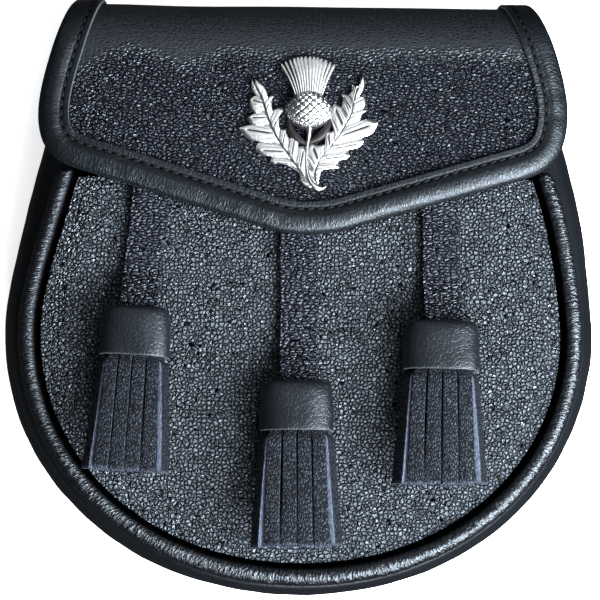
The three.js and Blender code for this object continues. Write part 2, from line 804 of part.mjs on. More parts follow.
// Lobes of the two leaves: from the vein to the lobe's point, with its half width at the root
const leafLobes = [
  { rootX: -0.064, rootY: -0.29, tipX: -0.272, tipY: -0.334, half: 0.055 },
  { rootX: -0.126, rootY: -0.206, tipX: -0.36, tipY: -0.232, half: 0.068 },
  { rootX: -0.19, rootY: -0.13, tipX: -0.497, tipY: -0.07, half: 0.076 },
  { rootX: -0.24, rootY: -0.05, tipX: -0.432, tipY: 0.012, half: 0.05 },
  { rootX: -0.27, rootY: 0.05, tipX: -0.418, tipY: 0.147, half: 0.048 },
  { rootX: -0.29, rootY: 0.08, tipX: -0.39, tipY: 0.292, half: 0.058 },
  { rootX: -0.27, rootY: 0.07, tipX: -0.245, tipY: 0.17, half: 0.045 },
  { rootX: -0.22, rootY: -0.06, tipX: -0.176, tipY: 0.074, half: 0.062 },
  { rootX: -0.16, rootY: -0.16, tipX: -0.16, tipY: -0.066, half: 0.05 },
  { rootX: -0.09, rootY: -0.24, tipX: -0.1, tipY: -0.098, half: 0.045 },
  { rootX: -0.02, rootY: -0.34, tipX: -0.04, tipY: -0.186, half: 0.05 },
  { rootX: 0.105, rootY: -0.33, tipX: 0.222, tipY: -0.352, half: 0.05 },
  { rootX: 0.132, rootY: -0.25, tipX: 0.3, tipY: -0.258, half: 0.06 },
  { rootX: 0.19, rootY: -0.18, tipX: 0.394, tipY: -0.162, half: 0.066 },
  { rootX: 0.26, rootY: -0.11, tipX: 0.503, tipY: -0.03, half: 0.072 },
  { rootX: 0.32, rootY: 0, tipX: 0.428, tipY: 0.056, half: 0.046 },
  { rootX: 0.33, rootY: 0.07, tipX: 0.405, tipY: 0.155, half: 0.042 },
  { rootX: 0.34, rootY: 0.1, tipX: 0.387, tipY: 0.32, half: 0.05 },
  { rootX: 0.3, rootY: 0.04, tipX: 0.24, tipY: 0.18, half: 0.056 },
  { rootX: 0.24, rootY: -0.06, tipX: 0.182, tipY: 0.106, half: 0.055 },
  { rootX: 0.18, rootY: -0.15, tipX: 0.142, tipY: -0.074, half: 0.05 },
  { rootX: 0.1, rootY: -0.26, tipX: 0.09, tipY: -0.15, half: 0.055 },
  { rootX: 0.05, rootY: -0.3, tipX: 0.03, tipY: -0.14, half: 0.045 },
];

// Main stems: the vein of each leaf, the stalk under the head and the curled foot,
// as points with the stem's half width there
const stems = [
  [
    { x: 0.0, y: -0.47, half: 0.025 },
    { x: -0.064, y: -0.34, half: 0.04 },
    { x: -0.13, y: -0.22, half: 0.055 },
    { x: -0.2, y: -0.13, half: 0.06 },
    { x: -0.26, y: -0.03, half: 0.055 },
    { x: -0.3, y: 0.1, half: 0.04 },
  ],
  [
    { x: 0.02, y: -0.47, half: 0.03 },
    { x: 0.06, y: -0.36, half: 0.055 },
    { x: 0.12, y: -0.25, half: 0.06 },
    { x: 0.21, y: -0.15, half: 0.06 },
    { x: 0.29, y: -0.04, half: 0.055 },
    { x: 0.345, y: 0.11, half: 0.038 },
  ],
  [
    { x: 0.004, y: -0.06, half: 0.03 },
    { x: 0.006, y: -0.22, half: 0.022 },
    { x: 0.01, y: -0.4, half: 0.03 },
    { x: 0.05, y: -0.478, half: 0.028 },
    { x: 0.118, y: -0.498, half: 0.008 },
  ],
];

// Small curved bracts that hold the head, left and right of the stalk
const bracts = [
  [
    { x: -0.13, y: -0.0, half: 0.022 },
    { x: -0.1, y: -0.09, half: 0.03 },
    { x: -0.05, y: -0.15, half: 0.03 },
    { x: 0.0, y: -0.175, half: 0.02 },
  ],
  [
    { x: 0.15, y: 0.02, half: 0.02 },
    { x: 0.13, y: -0.07, half: 0.032 },
    { x: 0.08, y: -0.13, half: 0.034 },
    { x: 0.01, y: -0.165, half: 0.02 },
  ],
];

const badgeAt = (x, y, z) => new THREE.Vector3(x * badgeWidth, y * badgeWidth, z);

// A ridged lobe: a pointed outline with upright edges and a roof along its middle.
function makeLobe(lobe) {
  const along = new THREE.Vector2(lobe.tipX - lobe.rootX, lobe.tipY - lobe.rootY);
  const across = new THREE.Vector2(-along.y, along.x).normalize().multiplyScalar(lobe.half);
  const corners = [[-0.25, 0.5], [0.32, 0.92], [1, 0], [0.32, -0.92], [-0.25, -0.5]];
  const place = ([a, b], z) =>
    badgeAt(lobe.rootX + along.x * a + across.x * b, lobe.rootY + along.y * a + across.y * b, z);
  const floor = corners.map((c) => place(c, 0));
  const rim = corners.map((c) => place(c, badgePlate));
  const ridge = [place([0, 0], leafRidge), place([0.7, 0], leafRidge * 0.8)];
  const size = corners.length;
  const [near, far] = [2 * size, 2 * size + 1];
  const triangles = ringWalls(2, size, false);
  for (let i = 1; i < size - 1; i += 1) triangles.push([0, i + 1, i]);
  for (let i = 0; i < size; i += 1) {
    const j = (i + 1) % size;
    const peak = i === 1 || i === 2 ? far : near;
    triangles.push([size + i, size + j, peak]);
  }
  triangles.push([size + 1, far, near], [size + 3, near, far]);
  return closedGeometry([...floor, ...rim, ...ridge], triangles);
}

// A ridged stem through a few points, five-sided in section.
function makeStem(points, height) {
  const rings = points.map((point, i) => {
    const before = points[Math.max(0, i - 1)];
    const after = points[Math.min(points.length - 1, i + 1)];
    const across = new THREE.Vector2(before.y - after.y, after.x - before.x).normalize();
    const at = (side, z) =>
      badgeAt(point.x + across.x * side * point.half, point.y + across.y * side * point.half, z);
    return [at(-1, 0), at(1, 0), at(1, badgePlate), at(0, height), at(-1, badgePlate)];
  });
  const section = [[-1, 0], [1, 0], [1, 1], [0, 2], [-1, 1]].map(([x, y]) => new THREE.Vector2(x, y));
  return loft(rings, section);
}

// Crown of the thistle: a fan of ridged rays from the head's neck to a curved top.
function makeCrown() {
  const rays = 9;
  const neckY = 0.195;
  const neckHalf = 0.088;
  const topHalf = 0.19;
  return Array.from({ length: rays }, (_, i) => {
    const share = (2 * i) / (rays - 1) - 1;
    const topY = 0.452 - 0.05 * share ** 2;
    return makeStem(
      [
        { x: 0.004 + share * neckHalf, y: neckY, half: 0.0145 },
        { x: 0.004 + share * topHalf, y: topY, half: 0.0265 },
      ],
      leafRidge + 0.5,
    );
  });
}

// Head of the thistle: a rounded globe with staggered rows of raised scales.
function makeHead() {
  const halfX = 0.165;
  const halfY = 0.145;
  const middleX = 0.006;
  const middleY = 0.068;
  const globe = new THREE.SphereGeometry(1, 12, 4, 0, 2 * Math.PI, 0, Math.PI / 2);
  const bowl = mergeVertices(stripAttributes(globe));
  bowl.rotateX(Math.PI / 2);
  bowl.scale(halfX * badgeWidth, halfY * badgeWidth, globeHeight - badgePlate);
  const disc = new THREE.CylinderGeometry(1, 1, badgePlate, 12);
  disc.rotateX(Math.PI / 2);
  disc.scale(halfX * badgeWidth, halfY * badgeWidth, 1);
  disc.translate(middleX * badgeWidth, middleY * badgeWidth, badgePlate / 2);
  const closed = closeBowl(bowl);
  closed.translate(middleX * badgeWidth, middleY * badgeWidth, badgePlate * 0.8);
  const scales = [];
  const rowCount = 5;
  for (let row = 0; row < rowCount; row += 1) {
    const up = 0.66 - (1.32 * row) / (rowCount - 1);
    const width = Math.sqrt(1 - up * up);
    const count = row % 2 ? 3 : 4;
    for (let i = 0; i < count; i += 1) {
      const acrossShare = (i - (count - 1) / 2) / 2.1;
      const bulge = Math.sqrt(Math.max(0.02, 1 - up * up - (acrossShare * width) ** 2));
      const scale = new THREE.OctahedronGeometry(1);
      scale.scale(0.036 * badgeWidth, 0.036 * badgeWidth, 0.75);
      scale.translate(
        (middleX + halfX * acrossShare * width) * badgeWidth,
        (middleY + halfY * up) * badgeWidth,
        badgePlate * 0.8 + (globeHeight - badgePlate) * bulge,
      );
      scales.push(scale);
    }
  }
  return [disc, closed, ...scales];
}

function stripAttributes(geometry) {
  geometry.deleteAttribute("normal");
  geometry.deleteAttribute("uv");
  return geometry;
}

// Closes the open rim of a half globe with a flat floor.
function closeBowl(bowl) {
  const position = bowl.attributes.position;
  const read = (_, i) => new THREE.Vector3().fromBufferAttribute(position, i);
  const points = Array.from({ length: position.count }, read);
  const index = bowl.index.array;
  const triangles = [];
  for (let i = 0; i < index.length; i += 3) triangles.push([index[i], index[i + 1], index[i + 2]]);
  const rim = points
    .map((p, i) => ({ i, p }))
    .filter(({ p }) => Math.abs(p.z) < 1e-6)
    .sort((a, b) => Math.atan2(a.p.y, a.p.x) - Math.atan2(b.p.y, b.p.x));
  const middle = points.push(new THREE.Vector3(0, 0, 0)) - 1;
  rim.forEach(({ i }, k) => triangles.push([middle, rim[(k + 1) % rim.length].i, i]));
  const real = triangles.filter(([a, b, c]) => a !== b && b !== c && a !== c);
  return closedGeometry(points, real);
}

// Round posts behind the badge, in line up its middle.
function badgePosts(radius, length) {
  return [-1, 1].map((end) => {
    const post = new THREE.CylinderGeometry(radius, radius, length, 12);
    post.rotateX(Math.PI / 2);
    post.translate(0, (end * postSpacing) / 2 - postsBelowMiddle, 0);
    return post;
  });
}

function makeBadge() {
  const postLength = flapThickness + seatGap;
  const posts = badgePosts(postRadius, postLength).map((post) => post.translate(0, 0, 0.2 - postLength / 2));
  return join([
    ...stems.map((stem) => makeStem(stem, leafRidge)),
    ...bracts.map((bract) => makeStem(bract, leafRidge - 0.4)),
    ...leafLobes.map(makeLobe),
    ...makeCrown(),
    ...makeHead(),
    ...posts,
  ]);
}

// Closing stud: one plain disc between the panel and the flap.
function makeStud() {
  const height = flapZ - flapThickness - frontZ - 2 * seatGap;
  const stud = new THREE.CylinderGeometry(studRadius, studRadius, height, 20);
  stud.rotateX(Math.PI / 2);
  stud.translate(0, studY, frontZ + seatGap + height / 2);
  return stud;
}

// Materials
const grainedLeather = new THREE.MeshStandardMaterial({ color: 0x15171b, roughness: 0.45, metalness: 0 });
const smoothLeather = new THREE.MeshStandardMaterial({ color: 0x131417, roughness: 0.38, metalness: 0 });
const fringeLeather = new THREE.MeshStandardMaterial({ color: 0x1a1c22, roughness: 0.55, metalness: 0 });
const castMetal = new THREE.MeshStandardMaterial({ color: 0xb9bbb8, roughness: 0.28, metalness: 1 });
const studMetal = new THREE.MeshStandardMaterial({ color: 0x8a8c90, roughness: 0.3, metalness: 1 });

function piece(name, geometry, material, parent) {
  const mesh = new THREE.Mesh(geometry, material);
  mesh.name = name;
  parent.add(mesh);
  return mesh;
}

const sporran = new THREE.Group();

piece("back_panel", makeBackPanel(), smoothLeather, sporran);
piece("gusset", makeGusset(), smoothLeather, sporran);
piece("front_panel", makeFrontPanel(), grainedLeather, sporran);
piece("front_piping", makePiping(), smoothLeather, sporran);
piece("flap", makeFlap(), grainedLeather, sporran);
piece("flap_binding", makeBinding(), smoothLeather, sporran);
piece("belt_loop_left", makeBeltLoop(-loopSpacing / 2), smoothLeather, sporran);
piece("belt_loop_right", makeBeltLoop(loopSpacing / 2), smoothLeather, sporran);
piece("closing_stud", makeStud(), studMetal, sporran);

const badge = piece("thistle_badge", makeBadge(), castMetal, sporran);
badge.position.set(badgeX, badgeY, flapZ + seatGap);

const tassels = tasselShares.map((row) => ({
  ...row,
  capX: row.capX * panel.half,
  capTopY: row.capTopY * panelTopY,
  strapX: row.strapX * panel.half,
  strapTopY: row.name === "centre" ? studY - studRadius - strapStudGap : panelTopY - strapBelowHem,
}));

for (const tassel of tassels) {
  const strap = piece(`tassel_strap_${tassel.name}`, makeStrap(tassel), grainedLeather, sporran);
  strap.position.set(tassel.strapX, tassel.capTopY, frontZ + seatGap);
  strap.rotation.z = THREE.MathUtils.degToRad(tassel.strapTilt);
  const hanging = new THREE.Group();
  hanging.position.set(tassel.capX, tassel.capTopY, frontZ + seatGap + capHalfDepth);
  hanging.rotation.z = THREE.MathUtils.degToRad(tassel.tilt);
  const halfWidth = capHalfWidth * tassel.cut;
  piece(`tassel_cap_${tassel.name}`, makeTasselCap(halfWidth), smoothLeather, hanging);
  piece(`tassel_skirt_${tassel.name}`, makeSkirt(halfWidth), fringeLeather, hanging);
  sporran.add(hanging);
}

// Stands the middle of its box's floor on the origin.
const box = new THREE.Box3().setFromObject(sporran, true);
const middle = box.getCenter(new THREE.Vector3());
sporran.position.set(-middle.x, -middle.y, -box.min.z);

export default sporran;
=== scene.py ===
import math

import bpy
import numpy as np
from mathutils import Matrix, Vector


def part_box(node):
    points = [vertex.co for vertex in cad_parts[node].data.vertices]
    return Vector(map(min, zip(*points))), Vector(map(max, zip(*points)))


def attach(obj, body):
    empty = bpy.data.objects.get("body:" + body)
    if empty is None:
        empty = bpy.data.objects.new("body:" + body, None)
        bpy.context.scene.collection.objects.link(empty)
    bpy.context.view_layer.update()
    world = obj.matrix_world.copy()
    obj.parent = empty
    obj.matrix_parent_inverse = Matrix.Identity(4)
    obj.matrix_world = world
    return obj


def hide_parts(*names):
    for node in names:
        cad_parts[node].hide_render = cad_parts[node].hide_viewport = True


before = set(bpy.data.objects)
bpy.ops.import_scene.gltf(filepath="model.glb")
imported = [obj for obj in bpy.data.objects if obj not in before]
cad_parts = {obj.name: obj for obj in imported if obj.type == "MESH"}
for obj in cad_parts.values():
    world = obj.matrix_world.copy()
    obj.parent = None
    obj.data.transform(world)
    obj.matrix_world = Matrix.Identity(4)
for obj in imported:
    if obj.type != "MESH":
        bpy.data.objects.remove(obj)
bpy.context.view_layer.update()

# Sizes in millimetres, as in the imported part.
# Leather thicknesses and the gap kept between pieces
PANEL_THICK = 2.0
GUSSET_THICK = 1.6
FLAP_THICK = 2.0
BINDING_THICK = 1.15
BINDING_CLEAR = 0.25
SEAT_GAP = 0.3

# Pouch outline at the gusset's bulge, and the front panel's outline
BODY = dict(half=95.3, top_half=78.5, wide_y=0.0, below=85.0, top_y=84.9)
PANEL = dict(half=82.1, top_half=72.7, wide_y=-2.0, below=72.7, top_y=47.0)
SIDE_CURVE = 1.55
BODY_LEAN = 1.5
LEAN_TOP_Y = 40.0
ROUNDNESS = 2.06
JOIN_Y = 9.0

# Front seam
FRONT_Z = 38.0
EDGE_DROP = 2.0
EDGE_ROUND = 9.0
SEAM_Z = FRONT_Z - EDGE_DROP
PIPING_RADIUS = 3.0
PIPING_OUT = 1.2 + PIPING_RADIUS
PIPING_Z = SEAM_Z - 0.4
PIPING_TOP_Y = 49.5
FLANGE_THICK = 1.0
FLANGE_Z = SEAM_Z - PANEL_THICK - SEAT_GAP - FLANGE_THICK / 2
SEAM_WIDTH = 6.0
LIP_Z = FLANGE_Z - FLANGE_THICK / 2 - SEAT_GAP - GUSSET_THICK / 2

# Back and belt loops
BACK_INSET = 5.0
BACK_SEAM = 9.0
BACK_BOTTOM_Y = -BODY["below"] + BACK_INSET
LOOP_THICK = 1.8
BELT_GAP = 4.5
BELT_WIDTH = 26.0
LOOP_WIDTH = 22.0
LOOP_X = 42.0
LOOP_LOW_Y = 34.0
LOOP_RAMP = 5.0
LOOP_FOOT = 7.0
BACK_SLOPE = (LOOP_THICK + BELT_GAP) / (LOOP_LOW_Y - BACK_BOTTOM_Y)

# Tassels
STRAP_WIDTH = 12.0
STRAP_THICK = 2.3
STRAP_LIFT = 15.0
STRAP_IN_CAP = 4.6
CAP_LENGTH = 15.3
CAP_WALL = 1.5
CAP_HALF_WIDTH = 11.6
CAP_HALF_DEPTH = 6.6
CAP_SQUARENESS = 2.5
CAP_SIDES = 96
RIM_ROUND = 0.35
SKIRT_LENGTH = 35.2
STRIP_THICK = 1.7
STRIP_TOP = 3.9
STRIP_END = 4.9
TASSELS = (
    dict(name="left", x=-51.3, y=3.6, tilt=-3.4, cut=0.94, strap_x=-51.4, strap_tilt=-5.6, strap_top=44.5),
    dict(name="centre", x=-2.0, y=-19.2, tilt=0.0, cut=1.0, strap_x=-1.1, strap_tilt=0.0, strap_top=34.0),
    dict(name="right", x=43.2, y=-0.3, tilt=-1.5, cut=1.04, strap_x=44.2, strap_tilt=0.6, strap_top=44.5),
)

# Flap
TIP_Y = 27.4
FLAP_TOP_Y = 106.5
TAIL_LENGTH = 13.0
TAIL_HALF = 73.4
SIDE_DROOP = 3.0
DROOP_FROM = 58.0
DROOP_REACH = BODY["half"] - 10 - DROOP_FROM
FLARE_V = 70.0
CORNER_ROUND = 0.62
FLAP_EDGES = (
    dict(side=-1, fold_half=74.0, wide_half=83.9, wide_v=39.0, arm_x=70.0, arm_v=20.4, tip_x=12.0, tip_v=2.0),
    dict(side=1, fold_half=75.4, wide_half=85.2, wide_v=41.0, arm_x=69.5, arm_v=18.0, tip_x=14.0, tip_v=1.6),
)
BINDING_WIDTH = 10.0
BINDING_EDGE = 1.6
BINDING_STACK = FLAP_THICK + BINDING_THICK + BINDING_CLEAR
STITCH_INSET = 7.6
GROOVE_HALF = 0.55
GROOVE_DEPTH = 0.38
RIDGE_INSET = 4.6
RIDGE_TOP = 2.1
RIDGE_FALL = 2.9
FLAP_Z = FRONT_Z + SEAT_GAP + STRAP_THICK + 0.4 + BINDING_STACK
LEAN = math.atan(BACK_SLOPE)


def back_rear(y):
    """Height of the back's rear face: a plane that rises towards the fold."""
    return BACK_SLOPE * (y - BACK_BOTTOM_Y)


FOLD_RADIUS = (FLAP_Z + BINDING_STACK + SEAT_GAP - back_rear(FLAP_TOP_Y)) / (
    1 + math.cos(LEAN) - BACK_SLOPE * (1 - math.sin(LEAN))
)
FOLD_ANGLE = math.pi - LEAN
FOLD_START = FLAP_TOP_Y - FOLD_RADIUS - TIP_Y
FOLD_END = FOLD_START + FOLD_RADIUS * FOLD_ANGLE
TAIL_V = FOLD_END + TAIL_LENGTH
BACK_TOP_Y = FLAP_TOP_Y - FOLD_RADIUS - 0.8

# Badge
BADGE_X = 1.6
BADGE_Y = 62.6
BADGE_PLATE = 0.9
BADGE_Z = FLAP_Z + SEAT_GAP
POST_RADIUS = 1.1
POST_SPACING = 15.0
POSTS_BELOW_MIDDLE = 1.0

# The part's heights in Y are counted from the pouch's widest line; the frame is centred on its box.
MM = 0.001
CENTRE_Y = -BODY["below"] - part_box("gusset")[0][1] / MM
# One unit of a piece's own surface coordinates
UV_SPAN = 100.0


# Numbers and curves

def smoothstep(value, low, high):
    """Zero below low, one above high and an S-shaped rise between them."""
    share = np.clip((value - low) / (high - low), 0, 1)
    return share * share * (3 - 2 * share)


def waves(a, b, length, seed, count=9):
    """Sum of sine waves in seeded directions, each about the given length, scaled to about one."""
    rng = np.random.default_rng(seed)
    total = np.zeros(np.broadcast(a, b).shape)
    for _ in range(count):
        turn = rng.uniform(0, math.tau)
        pace = math.tau / (length * rng.uniform(0.75, 1.5))
        total += np.sin((a * math.cos(turn) + b * math.sin(turn)) * pace + rng.uniform(0, math.tau))
    return total / math.sqrt(count)


def through(rows, count):
    """Points on a smooth curve through rows (the first axis), Catmull-Rom with even steps."""
    rows = np.asarray(rows, float)
    padded = np.concatenate([rows[:1], rows, rows[-1:]])
    place = np.linspace(0, len(rows) - 1, count)
    cell = np.minimum(place.astype(int), len(rows) - 2)
    t = (place - cell).reshape((-1,) + (1,) * (rows.ndim - 1))
    a, b, c, d = (padded[cell + k] for k in range(4))
    return 0.5 * (2 * b + (c - a) * t + (2 * a - 5 * b + 4 * c - d) * t**2 + (3 * b - a - 3 * c + d) * t**3)


def lengths(points):
    """Distance along a line of points."""
    steps = np.linalg.norm(np.diff(points, axis=0), axis=1)
    return np.concatenate([[0], np.cumsum(steps)])


def resample(points, step, *others):
    """The line, and any lines that go with it, at even distances of about step along the first."""
    along = lengths(points)
    count = max(2, int(round(along[-1] / step)) + 1)
    places = np.linspace(0, along[-1], count)
    lines = (points, *others)
    return [np.stack([np.interp(places, along, column) for column in line.T], axis=1) for line in lines]


def bezier(ends, count=60):
    """Cubic through four points, or quadratic through three."""
    t = np.linspace(0, 1, count)[:, None]
    ends = [np.array(p, float) for p in ends]
    while len(ends) > 1:
        ends = [p * (1 - t) + q * t for p, q in zip(ends, ends[1:])]
    return ends[0]


def rounded_bar(width, thick, radius, per_corner=4):
    """Closed section of a bar centred on zero: a rectangle with quarter-round corners."""
    corners = []
    for k, (sx, sy) in enumerate(((1, 1), (-1, 1), (-1, -1), (1, -1))):
        turn = np.linspace(0, math.pi / 2, per_corner) + k * math.pi / 2
        corners.append(
            np.stack(
                [
                    sx * (width / 2 - radius) + radius * np.cos(turn),
                    sy * (thick / 2 - radius) + radius * np.sin(turn),
                ],
                axis=1,
            )
        )
    return np.concatenate(corners)


# Meshes

def quads(rows, columns, wrap_rows=False, wrap_columns=False, first=0):
    """Faces between neighbours on a grid of points, rows by columns."""
    r = np.arange(rows if wrap_rows else rows - 1)
    c = np.arange(columns if wrap_columns else columns - 1)
    r, c = np.meshgrid(r, c, indexing="ij")
    r2, c2 = (r + 1) % rows, (c + 1) % columns
    faces = np.stack([r * columns + c, r2 * columns + c, r2 * columns + c2, r * columns + c2], axis=-1)
    return faces.reshape(-1, 4) + first


def swept(rings):
    """Points and faces of a closed bar: rings of one section, with both ends closed."""
    rows, size = rings.shape[:2]
    faces = quads(rows, size, wrap_columns=True).tolist()
    faces.append(list(range(size)))
    faces.append(list(range(rows * size - 1, (rows - 1) * size - 1, -1)))
    return rings.reshape(-1, 3), faces


def slab(outer, inner):
    """Points and faces of a closed sheet between two grids of points."""
    rows, columns = outer.shape[:2]
    shift = rows * columns
    faces = quads(rows, columns).tolist()
    faces += (quads(rows, columns)[:, ::-1] + shift).tolist()
    ring = np.concatenate(
        [
            np.arange(columns),
            np.arange(1, rows) * columns + columns - 1,
            (rows - 1) * columns + np.arange(columns - 2, -1, -1),
            np.arange(rows - 2, 0, -1) * columns,
        ]
    )
    after = np.roll(ring, -1)
    faces += np.stack([ring, after, after + shift, ring + shift], axis=1).tolist()
    return np.concatenate([outer.reshape(-1, 3), inner.reshape(-1, 3)]), faces


def joined(parts):
    """One set of points and faces from several."""
    points, faces, first = [], [], 0
    for part_points, part_faces in parts:
        points.append(part_points)
        faces += [[i + first for i in face] for face in part_faces]
        first += len(part_points)
    return np.concatenate(points), faces


def copies(points, faces, places, ways, sides, tops):
    """A small shape repeated at many places, with its x, y and z along the ways, sides and tops."""
    count = len(places)
    at = (
        points[None, :, 0:1] * ways[:, None]
        + points[None, :, 1:2] * sides[:, None]
        + points[None, :, 2:3] * tops[:, None]
        + places[:, None]
    )
    faces = np.asarray(faces)
    all_faces = faces[None] + (np.arange(count) * len(points))[:, None, None]
    return at.reshape(-1, 3), all_faces.reshape(-1, faces.shape[1]).tolist()


def piece(name, shape, material, nodes=(), uv=None, marks=None, sharp=40):
    """A finished object from points in millimetres: faces turned outwards, smooth between sharp edges."""
    points, faces = shape
    points = np.asarray(points, float)
    mesh = bpy.data.meshes.new(name)
    placed = (points - [0, CENTRE_Y, 0]) * MM
    mesh.from_pydata(placed, [], faces)
    mesh.update()
    for key, values in (marks or {}).items():
        numbers = np.asarray(values, float).ravel()
        mesh.attributes.new(key, "FLOAT", "POINT").data.foreach_set("value", numbers)
    if uv is not None:
        corners = np.empty(len(mesh.loops), int)
        mesh.loops.foreach_get("vertex_index", corners)
        flat = (np.asarray(uv, float) / UV_SPAN)[corners].ravel()
        mesh.uv_layers.new(name="surface").data.foreach_set("uv", flat)
    if signed_volume(mesh) < 0:
        mesh.flip_normals()
    mesh.shade_smooth()
    mesh.set_sharp_from_angle(angle=math.radians(sharp))
    mesh.materials.append(material)
    thing = bpy.data.objects.new(name, mesh)
    bpy.context.scene.collection.objects.link(thing)
    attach(thing, "root")
    if nodes:
        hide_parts(*nodes)
    return thing


def signed_volume(mesh):
    """Volume inside a closed mesh, less than zero if its faces point in."""
    mesh.calc_loop_triangles()
    corners = np.empty(len(mesh.loop_triangles) * 3, int)
    mesh.loop_triangles.foreach_get("vertices", corners)
    points = np.empty(len(mesh.vertices) * 3)
    mesh.vertices.foreach_get("co", points)
    a, b, c = points.reshape(-1, 3)[corners.reshape(-1, 3)].transpose(1, 0, 2)
    return float(np.einsum("ij,ij->", a, np.cross(b, c)))


# Shader maths

class Value:
    """A number that varies over a surface. Arithmetic on it adds Math nodes."""

    def __init__(self, finish, socket):
        self.finish = finish
        self.socket = socket

    def math(self, operation, first, second):
        """What an operation makes of two numbers, of which one at least varies."""
        made = self.finish.node("ShaderNodeMath", {"operation": operation}, {0: first, 1: second})
        return self.finish.value(made)

    def __add__(self, other):
        return self.math("ADD", self, other)

    __radd__ = __add__

    def __sub__(self, other):
        return self.math("SUBTRACT", self, other)

    def __rsub__(self, other):
        return self.math("SUBTRACT", other, self)

    def __mul__(self, other):
        return self.math("MULTIPLY", self, other)

    __rmul__ = __mul__

    def rise(self, low, high, start=0.0, end=1.0):
        """Start below low, end above high and a smooth change between them."""
        return self.finish.value(
            self.finish.node(
                "ShaderNodeMapRange",
                {"interpolation_type": "SMOOTHSTEP"},
                {"Value": self, "From Min": low, "From Max": high, "To Min": start, "To Max": end},
            )
        )


class Finish:
    """A material and the nodes that are added to it."""

    def __init__(self, name, **sockets):
        self.material = bpy.data.materials.new(name)
        self.material.use_nodes = True
        self.tree = self.material.node_tree
        self.shader = self.tree.nodes["Principled BSDF"]
        for key, value in sockets.items():
            self.shader.inputs[key.replace("_", " ")].default_value = value

    def node(self, kind, settings=None, inputs=None):
        """A node of a type, with its settings and then the values or links of its sockets."""
        made = self.tree.nodes.new(kind)
        for key, value in (settings or {}).items():
            setattr(made, key, value)
        for key, value in (inputs or {}).items():
            self.feed(made.inputs[key], value)
        return made

    def feed(self, socket, value):
        """Links a socket to a value's or a node's output, or sets it to a number or colour."""
        if isinstance(value, Value):
            self.tree.links.new(value.socket, socket)
        elif isinstance(value, bpy.types.NodeSocket):
            self.tree.links.new(value, socket)
        else:
            socket.default_value = value

    def value(self, node, output=0):
        """A node's output, to be used in arithmetic."""
        return Value(self, node.outputs[output])

    def surface(self, **values):
        """Links or sets the shader's own sockets."""
        for key, value in values.items():
            self.feed(self.shader.inputs[key.replace("_", " ")], value)
        return self.material

    def place(self, stretch=(1, 1, 1), turn=(0, 0, 0)):
        """Object coordinates in millimetres, divided by a stretch along each axis."""
        at = self.node("ShaderNodeTexCoord").outputs["Object"]
        scale = tuple(1 / (MM * s) for s in stretch)
        return self.node("ShaderNodeMapping", {}, {"Vector": at, "Scale": scale, "Rotation": turn}).outputs[0]

    def along(self, stretch=(1, 1, 1)):
        """The piece's own surface coordinates in millimetres, divided by a stretch."""
        at = self.node("ShaderNodeUVMap", {"uv_map": "surface"}).outputs[0]
        scale = tuple(UV_SPAN / s for s in stretch)
        return self.node("ShaderNodeMapping", {}, {"Vector": at, "Scale": scale}).outputs[0]

    def noise(self, at, size, detail=2.0, rough=0.5):
        """Smooth random values from 0 to 1, with features of about a size."""
        inputs = {"Vector": at, "Scale": 1 / size, "Detail": detail, "Roughness": rough}
        return self.value(self.node("ShaderNodeTexNoise", {}, inputs))

    def warped(self, at, size, reach):
        """Coordinates pushed about at random, by up to a reach."""
        inputs = {"Vector": at, "Scale": 1 / size, "Detail": 1.0}
        push = self.node("ShaderNodeTexNoise", {}, inputs).outputs[1]
        centred = self.node("ShaderNodeVectorMath", {"operation": "SUBTRACT"}, {0: push, 1: (0.5, 0.5, 0.5)})
        inputs = {0: centred.outputs[0], "Scale": 2 * reach}
        grown = self.node("ShaderNodeVectorMath", {"operation": "SCALE"}, inputs)
        return self.node("ShaderNodeVectorMath", {}, {0: at, 1: grown.outputs[0]}).outputs[0]

    def cells(self, at, size):
        """Distance from the borders of random cells of a size."""
        inputs = {"Vector": at, "Scale": 1 / size, "Randomness": CELL_RANDOMNESS}
        return self.value(self.node("ShaderNodeTexVoronoi", {"feature": "DISTANCE_TO_EDGE"}, inputs))

    def mark(self, name):
        """A number kept on the piece's points."""
        return self.value(self.node("ShaderNodeAttribute", {"attribute_name": name}), "Fac")

    def mix(self, share, first, second):
        """A colour between two."""
        inputs = {0: share, 6: first, 7: second}
        return self.node("ShaderNodeMix", {"data_type": "RGBA"}, inputs).outputs[2]

    def bumped(self, height, depth):
        """A normal bent by a height from 0 to 1 that stands for a depth in millimetres."""
        inputs = {"Height": height, "Distance": depth * MM, "Strength": 1.0}
        return self.node("ShaderNodeBump", {}, inputs).outputs[0]


def rgb(red, green, blue):
    """A colour with no transparency."""
    return (red, green, blue, 1.0)


def shade(tone, share):
    """A tone made paler or darker by a share."""
    return rgb(*(share * c for c in tone))


CELL_RANDOMNESS = 0.84
COOL_GLOSS = rgb(0.85, 0.93, 1.0)
# Painted shade: the black put into the creases of the grain
PAINTED_CREASE_SHADE = rgb(0.0006, 0.0007, 0.0012)
# Painted shade: the black put on the piping's shaded flanks, the border's stitch groove and its underside
PAINTED_GROOVE_SHADE = rgb(0.0005, 0.0005, 0.0008)
CALF_DARK = (0.006, 0.007, 0.0095)
CALF_LIGHT = (0.0105, 0.012, 0.0155)
CALF_CUT = rgb(0.05, 0.052, 0.06)
BORDER_CUT = rgb(0.04, 0.045, 0.05)


# Finishes

